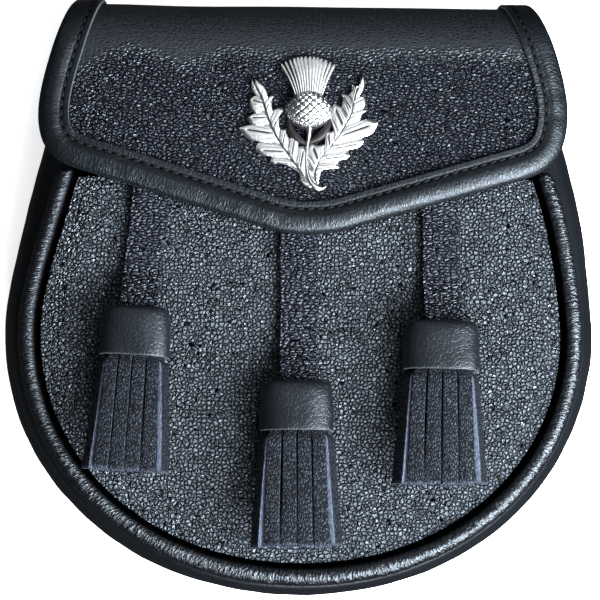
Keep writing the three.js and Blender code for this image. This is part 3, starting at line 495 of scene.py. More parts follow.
def pebble_leather(name, stretch, cell, depth, tone, shine, turn=(0, 0, 0)):
    """Pebbled leather: flat-topped cells between narrow creases, with smaller cells on top of them. The
    creases are painted black as shade and give no light back, which a dark metal does; the crests' tone is
    paler than black leather, as painted sheen. Where the piece is marked as stretched and shaded, the grain
    is pulled smooth and its colour darkened as painted shade."""
    finish = Finish(name, IOR=1.5, Specular_IOR_Level=shine, Specular_Tint=COOL_GLOSS)
    at = finish.warped(finish.place(stretch, turn), 2.2 * cell, 0.34 * cell)
    edge = finish.cells(at, cell)
    pebble = edge.rise(0.0, 0.36)
    small = finish.cells(at, 0.5 * cell).rise(0.0, 0.4)
    pores = finish.noise(finish.place(), 0.28, 2.0)
    broad = finish.noise(finish.place(), 26.0, 2.0)
    # Leather stretched over the fold: grain smoothed, and colour darkened there as painted shade
    stretched_and_shaded = finish.mark("stretched_and_shaded")
    height = (pebble * 0.72 + small * 0.22 + pores * 0.08) * (1 - 0.85 * stretched_and_shaded)
    gloss = edge.rise(0.02, 0.115)
    crest = edge.rise(0.03, 0.19) * (0.4 + 0.6 * small) * (1 - 0.8 * stretched_and_shaded)
    patch = finish.noise(at, 2.6 * cell, 1.0).rise(0.3, 0.7)
    # Random patches of the crest tone, which is paler than black leather as painted sheen
    patchy_sheen = finish.mix(patch, shade(tone, 0.8), shade(tone, 1.5))
    # Painted shade in the creases and on the stretched fold; the crests' painted sheen elsewhere
    colour = finish.mix(crest, PAINTED_CREASE_SHADE, patchy_sheen)
    rough = 0.94 - gloss * 0.70 + stretched_and_shaded * 0.18 + (broad - 0.5) * 0.08
    unlit = (1 - gloss) * (1 - stretched_and_shaded)
    return finish.surface(
        Base_Color=colour, Roughness=rough, Metallic=unlit, Normal=finish.bumped(height, depth)
    )


def smooth_leather(name, tint, gloss, roughness, depth):
    """Smooth calf: faint creases and pores under a soft gloss, and a paler line where the edge is cut."""
    finish = Finish(name, IOR=1.5, Specular_IOR_Level=gloss, Specular_Tint=COOL_GLOSS)
    at = finish.warped(finish.place(), 3.0, 0.8)
    creases = finish.cells(at, 1.5).rise(0.0, 0.16)
    pores = finish.noise(finish.place(), 0.35, 3.0, 0.6)
    broad = finish.noise(finish.place(), 22.0, 2.0)
    height = creases * 0.45 + pores * 0.55
    cut = finish.mark("cut")
    face = finish.mix(broad, shade(CALF_DARK, tint), shade(CALF_LIGHT, tint))
    colour = finish.mix(cut, face, CALF_CUT)
    rough = roughness + (broad - 0.5) * 0.12 + (pores - 0.5) * 0.10 + cut * 0.25
    return finish.surface(Base_Color=colour, Roughness=rough, Normal=finish.bumped(height, depth))


def rippled_leather(name, depth, across, gloss, roughness, tone):
    """Leather pulled round a curve: short ripples across its length, over fine grain. The troughs of the
    ripples are darkened as painted shade, and the places marked as grooves are painted black as shade and
    give no light back."""
    finish = Finish(name, IOR=1.5, Specular_IOR_Level=gloss, Specular_Tint=COOL_GLOSS)
    at = finish.warped(finish.along((1.0, across, 1.0)), 4.0, 0.5)
    ripples = finish.noise(at, 0.85, 3.0, 0.55).rise(0.28, 0.72)
    broken = finish.cells(at, 0.9).rise(0.0, 0.30)
    pores = finish.noise(finish.place(), 0.32, 2.0)
    broad = finish.noise(finish.place(), 18.0, 2.0)
    groove = finish.mark("groove")
    height = ripples * 0.50 + broken * 0.32 + pores * 0.18
    colour = finish.mix(broad, shade(tone, 0.7), shade(tone, 1.3))
    # Painted shade: the troughs of the ripples and the creases between cells darkened
    colour = finish.mix(ripples * broken, shade(tone, 0.25), colour)
    colour = finish.mix(finish.mark("cut"), colour, BORDER_CUT)
    # Painted shade: black where the piece is marked as groove
    colour = finish.mix(groove, colour, PAINTED_GROOVE_SHADE)
    rough = roughness + (broad - 0.5) * 0.12 + (1 - broken) * 0.16 + groove * 0.6
    return finish.surface(
        Base_Color=colour, Roughness=rough, Metallic=groove, Normal=finish.bumped(height, depth)
    )


def fringe_leather(name):
    """Strips cut from grained leather: long wrinkles on the face, their creases painted black as shade, and
    fibrous grey-blue cut edges.
    """
    finish = Finish(name, IOR=1.5, Specular_IOR_Level=0.24, Specular_Tint=COOL_GLOSS)
    at = finish.warped(finish.place((0.7, 1.5, 0.8)), 2.0, 0.6)
    wrinkles = finish.cells(at, 0.95).rise(0.0, 0.26)
    pores = finish.noise(finish.place(), 0.3, 2.0)
    fibres = finish.noise(finish.place((1.0, 5.0, 1.0)), 0.30, 3.0, 0.65)
    cut = finish.mark("cut")
    # Painted shade: near black in the creases between wrinkles
    face = finish.mix(wrinkles, rgb(0.0005, 0.0006, 0.001), rgb(0.008, 0.009, 0.0135))
    edge = finish.mix(fibres.rise(0.3, 0.7), rgb(0.022, 0.026, 0.040), rgb(0.085, 0.100, 0.135))
    height = wrinkles * 0.75 + pores * 0.25
    return finish.surface(
        Base_Color=finish.mix(cut, face, edge),
        Roughness=0.88 - wrinkles * 0.50 + cut * 0.45,
        Metallic=(1 - wrinkles) * (1 - cut) * 0.55,
        Normal=finish.bumped(height * (1 - cut) + fibres * cut, 0.30),
    )


def cast_silver(name):
    """Bright cast metal whose recesses keep a dark patina; the same dark colour is painted as shade on the
    bracts, which sit in shade under the bulb.
    """
    finish = Finish(name, Metallic=1.0)
    recess = finish.mark("recess")
    tarnish = finish.noise(finish.place(), 1.6, 3.0, 0.6)
    scratches = finish.noise(finish.place((0.35, 2.5, 1.0)), 0.4, 2.0)
    patina_and_shade = (recess + (tarnish - 0.5) * 0.35).rise(0.24, 0.72)
    colour = finish.mix(patina_and_shade, rgb(0.70, 0.70, 0.69), rgb(0.03, 0.026, 0.026))
    rough = 0.24 + patina_and_shade * 0.34 + (tarnish - 0.5) * 0.10
    height = scratches * 0.4 + tarnish * 0.6
    return finish.surface(Base_Color=colour, Roughness=rough, Normal=finish.bumped(height, 0.05))


def thread(name):
    """Waxed black thread, its twist as fine bands."""
    finish = Finish(name, Specular_IOR_Level=0.12)
    twist = finish.noise(finish.place(), 0.25, 2.0)
    colour = finish.mix(twist, rgb(0.001, 0.001, 0.0015), rgb(0.004, 0.004, 0.0055))
    rough = 0.7 + (twist - 0.5) * 0.2
    return finish.surface(Base_Color=colour, Roughness=rough, Normal=finish.bumped(twist, 0.05))


def plain_steel(name):
    """Turned steel with faint marks."""
    finish = Finish(name, Metallic=1.0)
    marks = finish.noise(finish.place((1.0, 1.0, 0.2)), 0.6, 3.0)
    colour = finish.mix(marks, rgb(0.42, 0.42, 0.43), rgb(0.55, 0.55, 0.56))
    rough = 0.3 + marks * 0.15
    return finish.surface(Base_Color=colour, Roughness=rough, Normal=finish.bumped(marks, 0.02))


# Seam geometry round the pouch

def bell_half(bell, y):
    """Half width of a bell outline: widest at its wide line, narrowing upwards by a power of the height,
    and in a straight line past its top."""
    rise = np.maximum(0, (y - bell["wide_y"]) / (bell["top_y"] - bell["wide_y"]))
    drop = bell["half"] - bell["top_half"]
    curved = drop * np.minimum(1, rise) ** SIDE_CURVE
    straight = drop * SIDE_CURVE * np.maximum(0, rise - 1)
    return bell["half"] - curved - straight


def lean_at(y):
    """How far the outline leans to the right: nothing at its widest line, rising smoothly above it."""
    return BODY_LEAN * smoothstep(y, 0, LEAN_TOP_Y)


def bell_path(bell, top_y):
    """The outline from the top of the left side, round the bottom as half a superellipse, to the right."""
    y = np.linspace(top_y, 0, 300)
    shifted = y + bell["wide_y"] * (1 - smoothstep(y, 0, JOIN_Y))
    left = np.stack([-bell_half(bell, shifted), shifted], axis=1)
    angle = np.linspace(0, math.pi, 1200)[1:-1]
    across = -np.cos(angle)
    power = 2 / ROUNDNESS
    lower = np.stack(
        [
            bell["half"] * np.sign(across) * np.abs(across) ** power,
            bell["wide_y"] - bell["below"] * np.sin(angle) ** power,
        ],
        axis=1,
    )
    line = np.concatenate([left, lower, left[::-1] * [-1, 1]])
    line[:, 0] += lean_at(line[:, 1])
    return line


def seam(top_y, step):
    """Places along the front seam: the panel's edge, the way out to the body's outline, the reach to it
    and the distance along."""
    start, end = resample(bell_path(PANEL, top_y), step, bell_path(BODY, top_y))
    out = end - start
    reach = np.linalg.norm(out, axis=1)
    return start, out / reach[:, None], reach, lengths(start)


def at_seam(start, out, section):
    """Section points, as distances out from the panel's edge and heights, put in space at each place."""
    flat = start[:, None] + out[:, None] * section[..., 0:1]
    return np.concatenate([flat, section[..., 1:2]], axis=-1)


def wall(line, thickness):
    """Closed section of a strip from its middle line, for each place along the seam."""
    along = np.gradient(line, axis=1)
    along /= np.linalg.norm(along, axis=-1, keepdims=True)
    side = np.stack([-along[..., 1], along[..., 0]], axis=-1) * thickness / 2
    return np.concatenate([line + side, (line - side)[:, ::-1]], axis=1)


# Pieces of the pouch

# The gusset's lip: how far out from the seam its line is, and how far it has dropped
GUSSET_LIP = (
    dict(out=-SEAM_WIDTH, drop=0.0),
    dict(out=0.0, drop=0.0),
    dict(out=PIPING_OUT, drop=0.2),
    dict(out=PIPING_OUT + PIPING_RADIUS * 1.1, drop=1.5),
)

# Its bulge: how far the line stays behind the outline, in millimetres and as a share of the reach, and
# how far down it is as a share of the depth
GUSSET_BULGE = (
    dict(behind=1.1, share=0.12, down=0.18),
    dict(behind=0.0, share=0.0, down=0.42),
    dict(behind=0.5, share=0.0, down=0.65),
    dict(behind=2.6, share=0.0, down=0.88),
)


def make_gusset(material):
    """The strip round the pouch: its lip under the piping, the bulge, and its lip on the back,
    as one smooth line carried round the seam, with slow waves in the bulge."""
    start, out, reach, along = seam(BACK_TOP_Y - 2, 1.3)
    bulge = reach - GUSSET_THICK / 2

    def on_back(distance):
        return back_rear(start[:, 1] + out[:, 1] * distance) + PANEL_THICK + SEAT_GAP + GUSSET_THICK / 2

    bend = bulge - BACK_INSET - 0.6
    inner = bend - BACK_SEAM
    depth = LIP_Z - on_back(bend)
    rows = [np.full((len(reach), 2), [row["out"], LIP_Z - row["drop"]]).T for row in GUSSET_LIP]
    for row in GUSSET_BULGE:
        rows.append([bulge - row["behind"] - row["share"] * reach, LIP_Z - depth * row["down"]])
    rows.append([bend, on_back(bend)])
    rows.append([inner, on_back(inner)])
    line = through(rows, 64).transpose(2, 0, 1)
    share = np.linspace(0, 1, line.shape[1])
    belly = smoothstep(share, 0.35, 0.55) * (1 - smoothstep(share, 0.75, 0.88))
    around = 30 * share
    sway = 0.18 * waves(along[:, None], around, 44, 5) + 0.06 * waves(along[:, None], around, 9, 6)
    line[..., 0] += (sway - 0.25) * belly
    rings = at_seam(start, out, wall(line, GUSSET_THICK))
    return piece("gusset_leather", swept(rings), material, ["gusset"])


# The roll's arc from the flange's top round to its foot, in degrees from straight out; the parts of it
# that lie in shade beside the panel and the gusset, where it is painted black as shade; and the taper of its
# ends
ROLL_ARC = (219, -106)
PANEL_SHADE = (106, 150)
GUSSET_SHADE = (24, 60)
PIPING_TAPER = 3.2


def make_piping(material):
    """A roll on a flat flange, carried round the seam; its radius has short ripples across it,
    and both ends taper to a fold."""
    start, out, _, along = seam(PIPING_TOP_Y, 0.42)
    turn = np.radians(np.linspace(*ROLL_ARC, 30))
    total = along[-1]
    from_end = np.minimum(along, total - along)
    roll = 0.55 + 0.45 * np.sqrt(1 - (1 - np.clip(from_end / PIPING_TAPER, 0, 1)) ** 2)
    around = turn * PIPING_RADIUS
    slant = along[:, None] + 0.25 * around
    ripple = 0.055 * waves(slant, around * 0.12, 2.4, 11) + 0.03 * waves(slant, around * 0.2, 1.3, 12)
    lumps = 0.07 * waves(along[:, None], around * 0.5, 17, 13)
    edge = np.sin(np.linspace(0, math.pi, len(turn))) ** 0.4
    radius = PIPING_RADIUS * roll[:, None] + (ripple + lumps - 0.08) * edge
    middle = PIPING_Z - (1 - roll[:, None]) * PIPING_RADIUS * 0.63
    arc = np.stack([PIPING_OUT + radius * np.cos(turn), middle + radius * np.sin(turn)], axis=-1)
    count = len(along)
    flange_top = np.broadcast_to([-SEAM_WIDTH, FLANGE_Z + FLANGE_THICK / 2], (count, 1, 2))
    flange_foot = np.broadcast_to([-SEAM_WIDTH, FLANGE_Z - FLANGE_THICK / 2], (count, 1, 2))
    section = np.concatenate([flange_top, arc, flange_foot], axis=1)
    rings = at_seam(start, out, section)
    v = np.concatenate([[-8], around, [8]])
    uv = np.stack(np.broadcast_arrays(along[:, None], v[None]), axis=-1).reshape(-1, 2)
    degrees = np.degrees(turn)
    # Painted shade: the roll's flanks beside the panel and the gusset, and the flange, are marked to be
    # painted black
    shaded_flanks = smoothstep(degrees, *PANEL_SHADE) + smoothstep(-degrees, *GUSSET_SHADE)
    groove = np.concatenate([[1], shaded_flanks, [1]])
    marks = {"groove": np.broadcast_to(groove, (count, len(groove)))}
    nodes = ["front_piping"]
    return piece("piping_roll", swept(rings), material, nodes, uv=uv, marks=marks)


def panel_height(x, y):
    """Slow unevenness of the front panel, in millimetres."""
    return 0.16 * waves(x, y, 46, 21)


def make_front_panel(material):
    """Rings drawn in from the panel's edge to its middle; the height falls by a smooth step near the seam."""
    edge, = resample(bell_path(PANEL, PANEL["top_y"]), 1.4)
    corner = PANEL["top_half"]
    top_x = np.linspace(corner, -corner, 92)[1:-1] + BODY_LEAN
    top = np.stack([top_x, np.full_like(top_x, PANEL["top_y"])], axis=1)
    base = np.concatenate([edge, top])
    on_top = np.concatenate([np.zeros(len(edge), bool), np.ones(len(top), bool)])
    middle = np.array([0.0, PANEL["wide_y"]])
    share = 1 - np.linspace(0, 1, 60)[:-1] ** 1.7
    flat = middle + (base - middle)[None] * share[:, None, None]
    x, y = flat[..., 0], flat[..., 1]
    inwards = (1 - share)[:, None] * np.linalg.norm(base - middle, axis=1)
    from_edge = np.where(on_top, np.maximum(0, corner - np.abs(x - BODY_LEAN)), inwards)
    rise = smoothstep(from_edge, -EDGE_ROUND / 2, EDGE_ROUND)
    height = SEAM_Z + EDGE_DROP * np.maximum(0, 2 * rise - 1)
    height += panel_height(x, y) * smoothstep(from_edge, 2, 16)
    over = 0.5 * (1 - smoothstep((1 - share)[:, None] * 70.0, 0.0, 1.2))
    front = np.stack([x, y, height - over], axis=-1)
    rear = np.stack([x, y, height - PANEL_THICK + 0.3 * over], axis=-1)
    rings = np.concatenate([front[::-1], rear])
    return piece("front_leather", swept(rings), material, ["front_panel"])


def back_outline(inset, top_y):
    """The back's edge: the body's outline drawn in."""
    start, out, reach, _ = seam(top_y, 1.4)
    return start + out * (reach - BACK_INSET - inset)[:, None]


def make_back(material):
    """A flat plate in the sloping plane of the back, with a rounded edge."""
    rings = []
    for inset, height in ((0.5, 0), (0, 0.5), (0, PANEL_THICK - 0.5), (0.5, PANEL_THICK)):
        line = back_outline(inset, BACK_TOP_Y)
        rings.append(np.column_stack([line, back_rear(line[:, 1]) + height]))
    rings = np.array(rings)
    return piece("back_leather", swept(rings), material, ["back_panel"])


def make_belt_loop(side, material):
    """A strap with two sewn feet: its middle line, drawn in Y and Z, carried with a rounded section."""
    high = LOOP_LOW_Y + BELT_WIDTH
    foot = -SEAT_GAP - LOOP_THICK / 2
    half = LOOP_THICK / 2
    line = np.array(
        [
            [LOOP_LOW_Y - LOOP_RAMP - LOOP_FOOT, None],
            [LOOP_LOW_Y - LOOP_RAMP - 2, None],
            [LOOP_LOW_Y - LOOP_RAMP * 0.5, 0.5 * back_rear(LOOP_LOW_Y)],
            [LOOP_LOW_Y + 1, half],
            [LOOP_LOW_Y + BELT_WIDTH / 2, half],
            [high - 1, half],
            [high + LOOP_RAMP * 0.5, 0.5 * back_rear(high)],
            [high + LOOP_RAMP + 2, None],
            [high + LOOP_RAMP + LOOP_FOOT, None],
        ],
        float,
    )
    sewn = np.isnan(line[:, 1])
    line[sewn, 1] = back_rear(line[sewn, 0]) + foot
    line, = resample(through(line, 90), 0.8)
    along = np.gradient(line, axis=0)
    along /= np.linalg.norm(along, axis=1, keepdims=True)
    section = rounded_bar(LOOP_WIDTH, LOOP_THICK, 0.6)
    x = side * LOOP_X + section[None, :, 0] + 0 * line[:, :1]
    y = line[:, :1] - along[:, 1:2] * section[None, :, 1]
    z = line[:, 1:2] + along[:, 0:1] * section[None, :, 1]
    rings = np.stack([x, y, np.maximum(z, 0)], axis=-1)
    name = "left" if side < 0 else "right"
    return piece(f"belt_loop_{name}_leather", swept(rings), material, [f"belt_loop_{name}"])


# The flap

def flap_lie(x, v):
    """Slow unevenness of the flap, in millimetres, fading under the badge."""
    near = np.exp(-((x - BADGE_X) ** 2 + (v + TIP_Y - BADGE_Y) ** 2) / 30**2)
    return 0.20 * waves(x, v, 52, 31) * (1 - near)


def fold(x, v, height):
    """A point of the flat flap, and a height above it, bent over the top along an arc."""
    reach = np.maximum(0, np.abs(x) - DROOP_FROM) / DROOP_REACH
    fade = 1 - smoothstep(v, FOLD_START - 20, FOLD_START + 25)
    up = height - SIDE_DROOP * reach**2 * fade + flap_lie(x, v) * (1 - smoothstep(v, FOLD_START, FOLD_END))
    angle = np.clip((v - FOLD_START) / FOLD_RADIUS, 0, FOLD_ANGLE)
    tail = np.maximum(0, v - FOLD_END)
    y = TIP_Y + np.minimum(v, FOLD_START) + (FOLD_RADIUS + up) * np.sin(angle) + tail * np.cos(angle)
    z = FLAP_Z - FOLD_RADIUS + (FOLD_RADIUS + up) * np.cos(angle) - tail * np.sin(angle)
    return np.stack(np.broadcast_arrays(x, y, z), axis=-1)


def flap_edge(edge, step):
    """One edge of the flat flap from its tail to the tip: a straight side, a flare, a round corner,
    the straight arm of the V and its rounded tip."""
    corner = CORNER_ROUND * (edge["wide_v"] - edge["arm_v"])
    slope = (edge["arm_v"] - edge["tip_v"]) / (edge["arm_x"] - edge["tip_x"])
    inward = CORNER_ROUND * (edge["wide_half"] - edge["arm_x"])
    start = (edge["fold_half"], FLARE_V + 18)
    wide = (edge["wide_half"], edge["wide_v"])
    arm = (edge["arm_x"], edge["arm_v"])
    tip = (edge["tip_x"], edge["tip_v"])
    flare = bezier([start, (edge["fold_half"] + 0.6, FLARE_V), (wide[0], wide[1] + 14), wide])
    turn = bezier([wide, (wide[0], wide[1] - corner), (arm[0] + inward, arm[1] + slope * inward), arm])
    point = bezier([tip, (tip[0] - tip[1] / slope, 0), (0, 0)])
    line = np.concatenate([[(TAIL_HALF, TAIL_V)], flare, turn[1:], point])
    line, = resample(line, step)
    return line * [edge["side"], 1]


def rim(step):
    """The flap's whole edge, its ways inwards and its distance along."""
    left, right = (flap_edge(edge, step) for edge in FLAP_EDGES)
    line = np.concatenate([left, right[-2::-1]])
    along = np.gradient(line, axis=0)
    along = through(along[::4], len(along))
    along /= np.linalg.norm(along, axis=1, keepdims=True)
    inward = np.stack([-along[:, 1], along[:, 0]], axis=1)
    return line, inward, lengths(line)


def make_flap(material):
    """The leather between the bindings, as rows from edge to edge, bent over the top."""
    inset = BINDING_EDGE + 0.7
    sides = []
    for edge in FLAP_EDGES:
        line = flap_edge(edge, 1.0)
        along = np.gradient(line, axis=0)
        along /= np.linalg.norm(along, axis=1, keepdims=True)
        inward = np.stack([along[:, 1], -along[:, 0]], axis=1) * edge["side"]
        sides.append((line + inward * inset)[:-1])
    low = inset + 0.35
    v = np.concatenate([np.linspace(low, 24, 60)[:-1], np.linspace(24, TAIL_V, 130)])
    left, right = (np.interp(v, s[::-1, 1], s[::-1, 0]) for s in sides)
    share = smoothstep(np.linspace(0, 1, 90), -0.35, 1.35)
    share = (share - share[0]) / (share[-1] - share[0])
    x = left[:, None] + (right - left)[:, None] * share
    v = np.broadcast_to(v[:, None], x.shape)
    shape = slab(fold(x, v, 0.0), fold(x, v, -FLAP_THICK))
    # Stretched over the fold: smoother grain, and a darker colour there as painted shade
    stretched_and_shaded = smoothstep(v + 3 * waves(x, v, 30, 33), FOLD_START - 9, FOLD_START + 2)
    marks = {"stretched_and_shaded": np.concatenate([stretched_and_shaded.ravel(), stretched_and_shaded.ravel()])}
    return piece("flap_leather", shape, material, ["flap"], marks=marks)


def in_groove(inward):
    """One on the line of stitches and falling to zero beside it, as a bell curve."""
    return np.exp(-(((inward - STITCH_INSET) / GROOVE_HALF) ** 2))


def binding_section():
    """Section as distance in and height: a ridge that falls as an ellipse to the outer edge and as half a
    wave to the stitch groove, and the plain underside."""
    top = BINDING_CLEAR + BINDING_THICK
    over_ridge = RIDGE_INSET * (1 - np.cos(np.linspace(0.22, math.pi / 2, 18)))
    down_slope = np.linspace(RIDGE_INSET, BINDING_WIDTH - 0.25, 22)[1:]
    inward = np.concatenate([over_ridge, down_slope])
    outer = RIDGE_FALL * np.sqrt(1 - np.clip(1 - inward / RIDGE_INSET, 0, 1) ** 2)
    ridge = RIDGE_TOP - RIDGE_FALL + outer
    slope = smoothstep(inward, RIDGE_INSET, STITCH_INSET)
    groove = -GROOVE_DEPTH * in_groove(inward)
    upper = np.column_stack([inward, ridge + (top - RIDGE_TOP) * slope + groove])
    cut = [[BINDING_WIDTH, top - 0.3], [BINDING_WIDTH, BINDING_CLEAR]]
    inside = [
        [BINDING_EDGE, BINDING_CLEAR],
        [BINDING_EDGE, -FLAP_THICK - BINDING_CLEAR],
        [BINDING_WIDTH, -FLAP_THICK - BINDING_CLEAR],
        [BINDING_WIDTH, -BINDING_STACK + 0.25],
    ]
    under = np.column_stack([np.linspace(BINDING_WIDTH - 0.2, BINDING_EDGE, 8), np.full(8, -BINDING_STACK)])
    first, last = under[-1], upper[0]
    turn = np.linspace(-math.pi / 2, 0, 9)[1:]
    middle = (first[1] + last[1]) / 2
    nose = np.column_stack(
        [BINDING_EDGE * (1 - np.cos(turn)) * 0.9 + 0.02, middle + (middle - first[1]) * np.sin(turn)]
    )
    return np.concatenate([upper, cut, inside, under, nose])


def make_binding(material):
    """The folded border: one section carried round the flap's edge, its top with shallow ripples."""
    line, inward, along = rim(1.0)
    section = binding_section()
    height = np.broadcast_to(section[:, 1], (len(line), len(section))).copy()
    depth = section[:, 0]
    puffed = (section[:, 1] > 1.0) * smoothstep(depth, 0.5, 2.5) * (1 - smoothstep(depth, 6.2, 7.4))
    ripple = 0.07 * waves(along[:, None], depth * 0.3, 6.5, 41)
    swell = 0.10 * waves(along[:, None], depth * 0.2, 24, 42)
    height += (ripple + swell) * puffed
    x = line[:, :1] + inward[:, :1] * depth
    v = line[:, 1:2] + inward[:, 1:2] * depth
    flat = BINDING_CLEAR + BINDING_THICK
    pressed = smoothstep(v, FOLD_START - 6, FOLD_START + 14)
    height = np.where(height > flat, height - (height - flat) * pressed, height)
    rings = fold(x, v, height)
    cut = np.broadcast_to((depth > BINDING_WIDTH - 0.1) & (section[:, 1] > 0), height.shape)
    under = section[:, 1] < -0.5
    # Painted shade: the stitch groove and the border's underside are marked to be painted black
    groove = np.broadcast_to(np.clip(in_groove(depth) + under, 0, 1), height.shape)
    uv = np.stack(np.broadcast_arrays(along[:, None], lengths(section)[None]), axis=-1).reshape(-1, 2)
    marks = {"cut": cut * 1.0, "groove": groove}
    nodes = ["flap_binding"]
    return piece("flap_border", swept(rings), material, nodes, uv=uv, marks=marks)


# Stitches

STITCH_RINGS = 7
STITCH_SIDES = 6
STITCH_DIP = 0.30


def stitch_shape(long, wide, high):
    """One stitch: a rounded bar that dips into the leather at both ends, as quads and end triangles."""
    t = np.linspace(-1, 1, STITCH_RINGS)
    round_part = np.sqrt(np.maximum(0.05, 1 - np.abs(t) ** 3))
    turn = np.linspace(0, math.tau, STITCH_SIDES + 1)[:-1]
    rings = np.stack(
        [
            np.broadcast_to((t * long / 2)[:, None], (STITCH_RINGS, STITCH_SIDES)),
            wide / 2 * round_part[:, None] * np.cos(turn),
            high / 2 * round_part[:, None] * np.sin(turn) - STITCH_DIP * (t**4)[:, None],
        ],
        axis=-1,
    )
    faces = quads(STITCH_RINGS, STITCH_SIDES, wrap_columns=True)
    tips = np.array([[-long / 2, 0, -STITCH_DIP], [long / 2, 0, -STITCH_DIP]])
    points = np.concatenate([rings.reshape(-1, 3), tips])
    side = np.arange(STITCH_SIDES)
    after = (side + 1) % STITCH_SIDES
    last_ring = STITCH_SIDES * (STITCH_RINGS - 1)
    near_tip, far_tip = np.full((2, STITCH_SIDES), [[len(points) - 2], [len(points) - 1]])
    near = np.stack([near_tip, after, side], axis=1)
    far = np.stack([far_tip, last_ring + side, last_ring + after], axis=1)
    return points, faces, np.concatenate([near, far])


def stitches(line, tops, pitch, long=2.4, wide=0.75, high=0.5, slant=0.0, seed=1):
    """Stitches at an even pitch on a line of points, standing along the given ways up."""
    along = lengths(line)
    count = int(along[-1] / pitch)
    places = (np.arange(count) + 0.5) * along[-1] / count
    at = np.stack([np.interp(places, along, c) for c in line.T], axis=1)
    up = np.stack([np.interp(places, along, c) for c in tops.T], axis=1)
    up /= np.linalg.norm(up, axis=1, keepdims=True)
    tangent = np.gradient(line, axis=0)
    way = np.stack([np.interp(places, along, c) for c in tangent.T], axis=1)
    way -= up * np.sum(way * up, axis=1, keepdims=True)
    way /= np.linalg.norm(way, axis=1, keepdims=True)
    side = np.cross(up, way)
    rng = np.random.default_rng(seed)
    lean = np.radians(slant + rng.normal(0, 2.5, count))[:, None]
    way, side = way * np.cos(lean) + side * np.sin(lean), side * np.cos(lean) - way * np.sin(lean)
    points, faces, triangles = stitch_shape(long, wide, high)
    placed, many = copies(points, faces, at, way, side, up)
    _, ends = copies(points, triangles, at, way, side, up)
    return placed, many + ends


def make_flap_stitches(material):
    """Stitches along the groove of the border, on its face and on its underside."""
    line, inward, _ = rim(1.0)
    parts = []
    for height, seed in ((BINDING_CLEAR + BINDING_THICK - 0.12, 51), (-BINDING_STACK - 0.02, 52)):
        x = line[:, 0] + inward[:, 0] * STITCH_INSET
        v = line[:, 1] + inward[:, 1] * STITCH_INSET
        at = fold(x, v, height)
        up = fold(x, v, height + math.copysign(1.0, height)) - at
        parts.append(stitches(at, up, 3.15, seed=seed, slant=5, high=0.42))
    return piece("border_stitches", joined(parts), material)


def make_back_stitches(material):
    """Stitches round the back's edge and across the feet of the belt loops."""
    line = back_outline(4.0, BACK_TOP_Y - 3)
    at = np.column_stack([line, back_rear(line[:, 1]) - 0.02])
    down = np.tile([0.0, 0.0, -1.0], (len(at), 1))
    parts = [stitches(at, down, 3.6, seed=61)]
    high = LOOP_LOW_Y + BELT_WIDTH
    rows = (
        LOOP_LOW_Y - LOOP_RAMP - LOOP_FOOT + 2,
        LOOP_LOW_Y - LOOP_RAMP - 2.2,
        high + LOOP_RAMP + 2.2,
        high + LOOP_RAMP + LOOP_FOOT - 2,
    )
    for side in (-1, 1):
        for k, y in enumerate(rows):
            x = side * LOOP_X + np.linspace(-LOOP_WIDTH / 2 + 2, LOOP_WIDTH / 2 - 2, 8)
            z = back_rear(y) - SEAT_GAP - LOOP_THICK - 0.02
            at = np.column_stack([x, np.full_like(x, y), np.full_like(x, z)])
            parts.append(stitches(at, np.tile([0.0, 0.0, -1.0], (len(x), 1)), 3.0, seed=62 + k))
    return piece("back_stitches", joined(parts), material)


# Tassels

def turned(points, x, y, z, degrees):
    """Points turned about an upright axis and moved to a place."""
    c, s = math.cos(math.radians(degrees)), math.sin(math.radians(degrees))
    px, py = points[..., 0], points[..., 1]
    return np.stack([px * c - py * s + x, px * s + py * c + y, points[..., 2] + z], axis=-1)


def make_strap(tassel, material):
    """A flat strap on the panel that rises into its cap; its face is slightly cupped."""
    section = rounded_bar(STRAP_WIDTH, STRAP_THICK, 0.55)
    length = tassel["strap_top"] - tassel["y"]
    y = np.linspace(length, -STRAP_IN_CAP, 110)
    rise = (CAP_HALF_DEPTH - 1 - STRAP_THICK / 2) * (1 - smoothstep(y, 0, STRAP_LIFT))
    x = section[None, :, 0] + 0.12 * waves(y, 0 * y, 23, 71)[:, None]
    z = rise[:, None] + STRAP_THICK / 2 + section[None, :, 1] * (1 - 0.10 * np.abs(section[None, :, 0]) / 6)
    rings = np.stack([x, np.broadcast_to(y[:, None], x.shape), z], axis=-1)
    rings = turned(rings, tassel["strap_x"], tassel["y"], FRONT_Z + SEAT_GAP, tassel["strap_tilt"])
    name = tassel["name"]
    nodes = [f"tassel_strap_{name}"]
    return piece(f"strap_{name}_leather", swept(rings), material, nodes)


def squared(value, power):
    """A power of a number that keeps its sign: it squares off the corners of an ellipse."""
    return np.sign(value) * np.abs(value) ** power


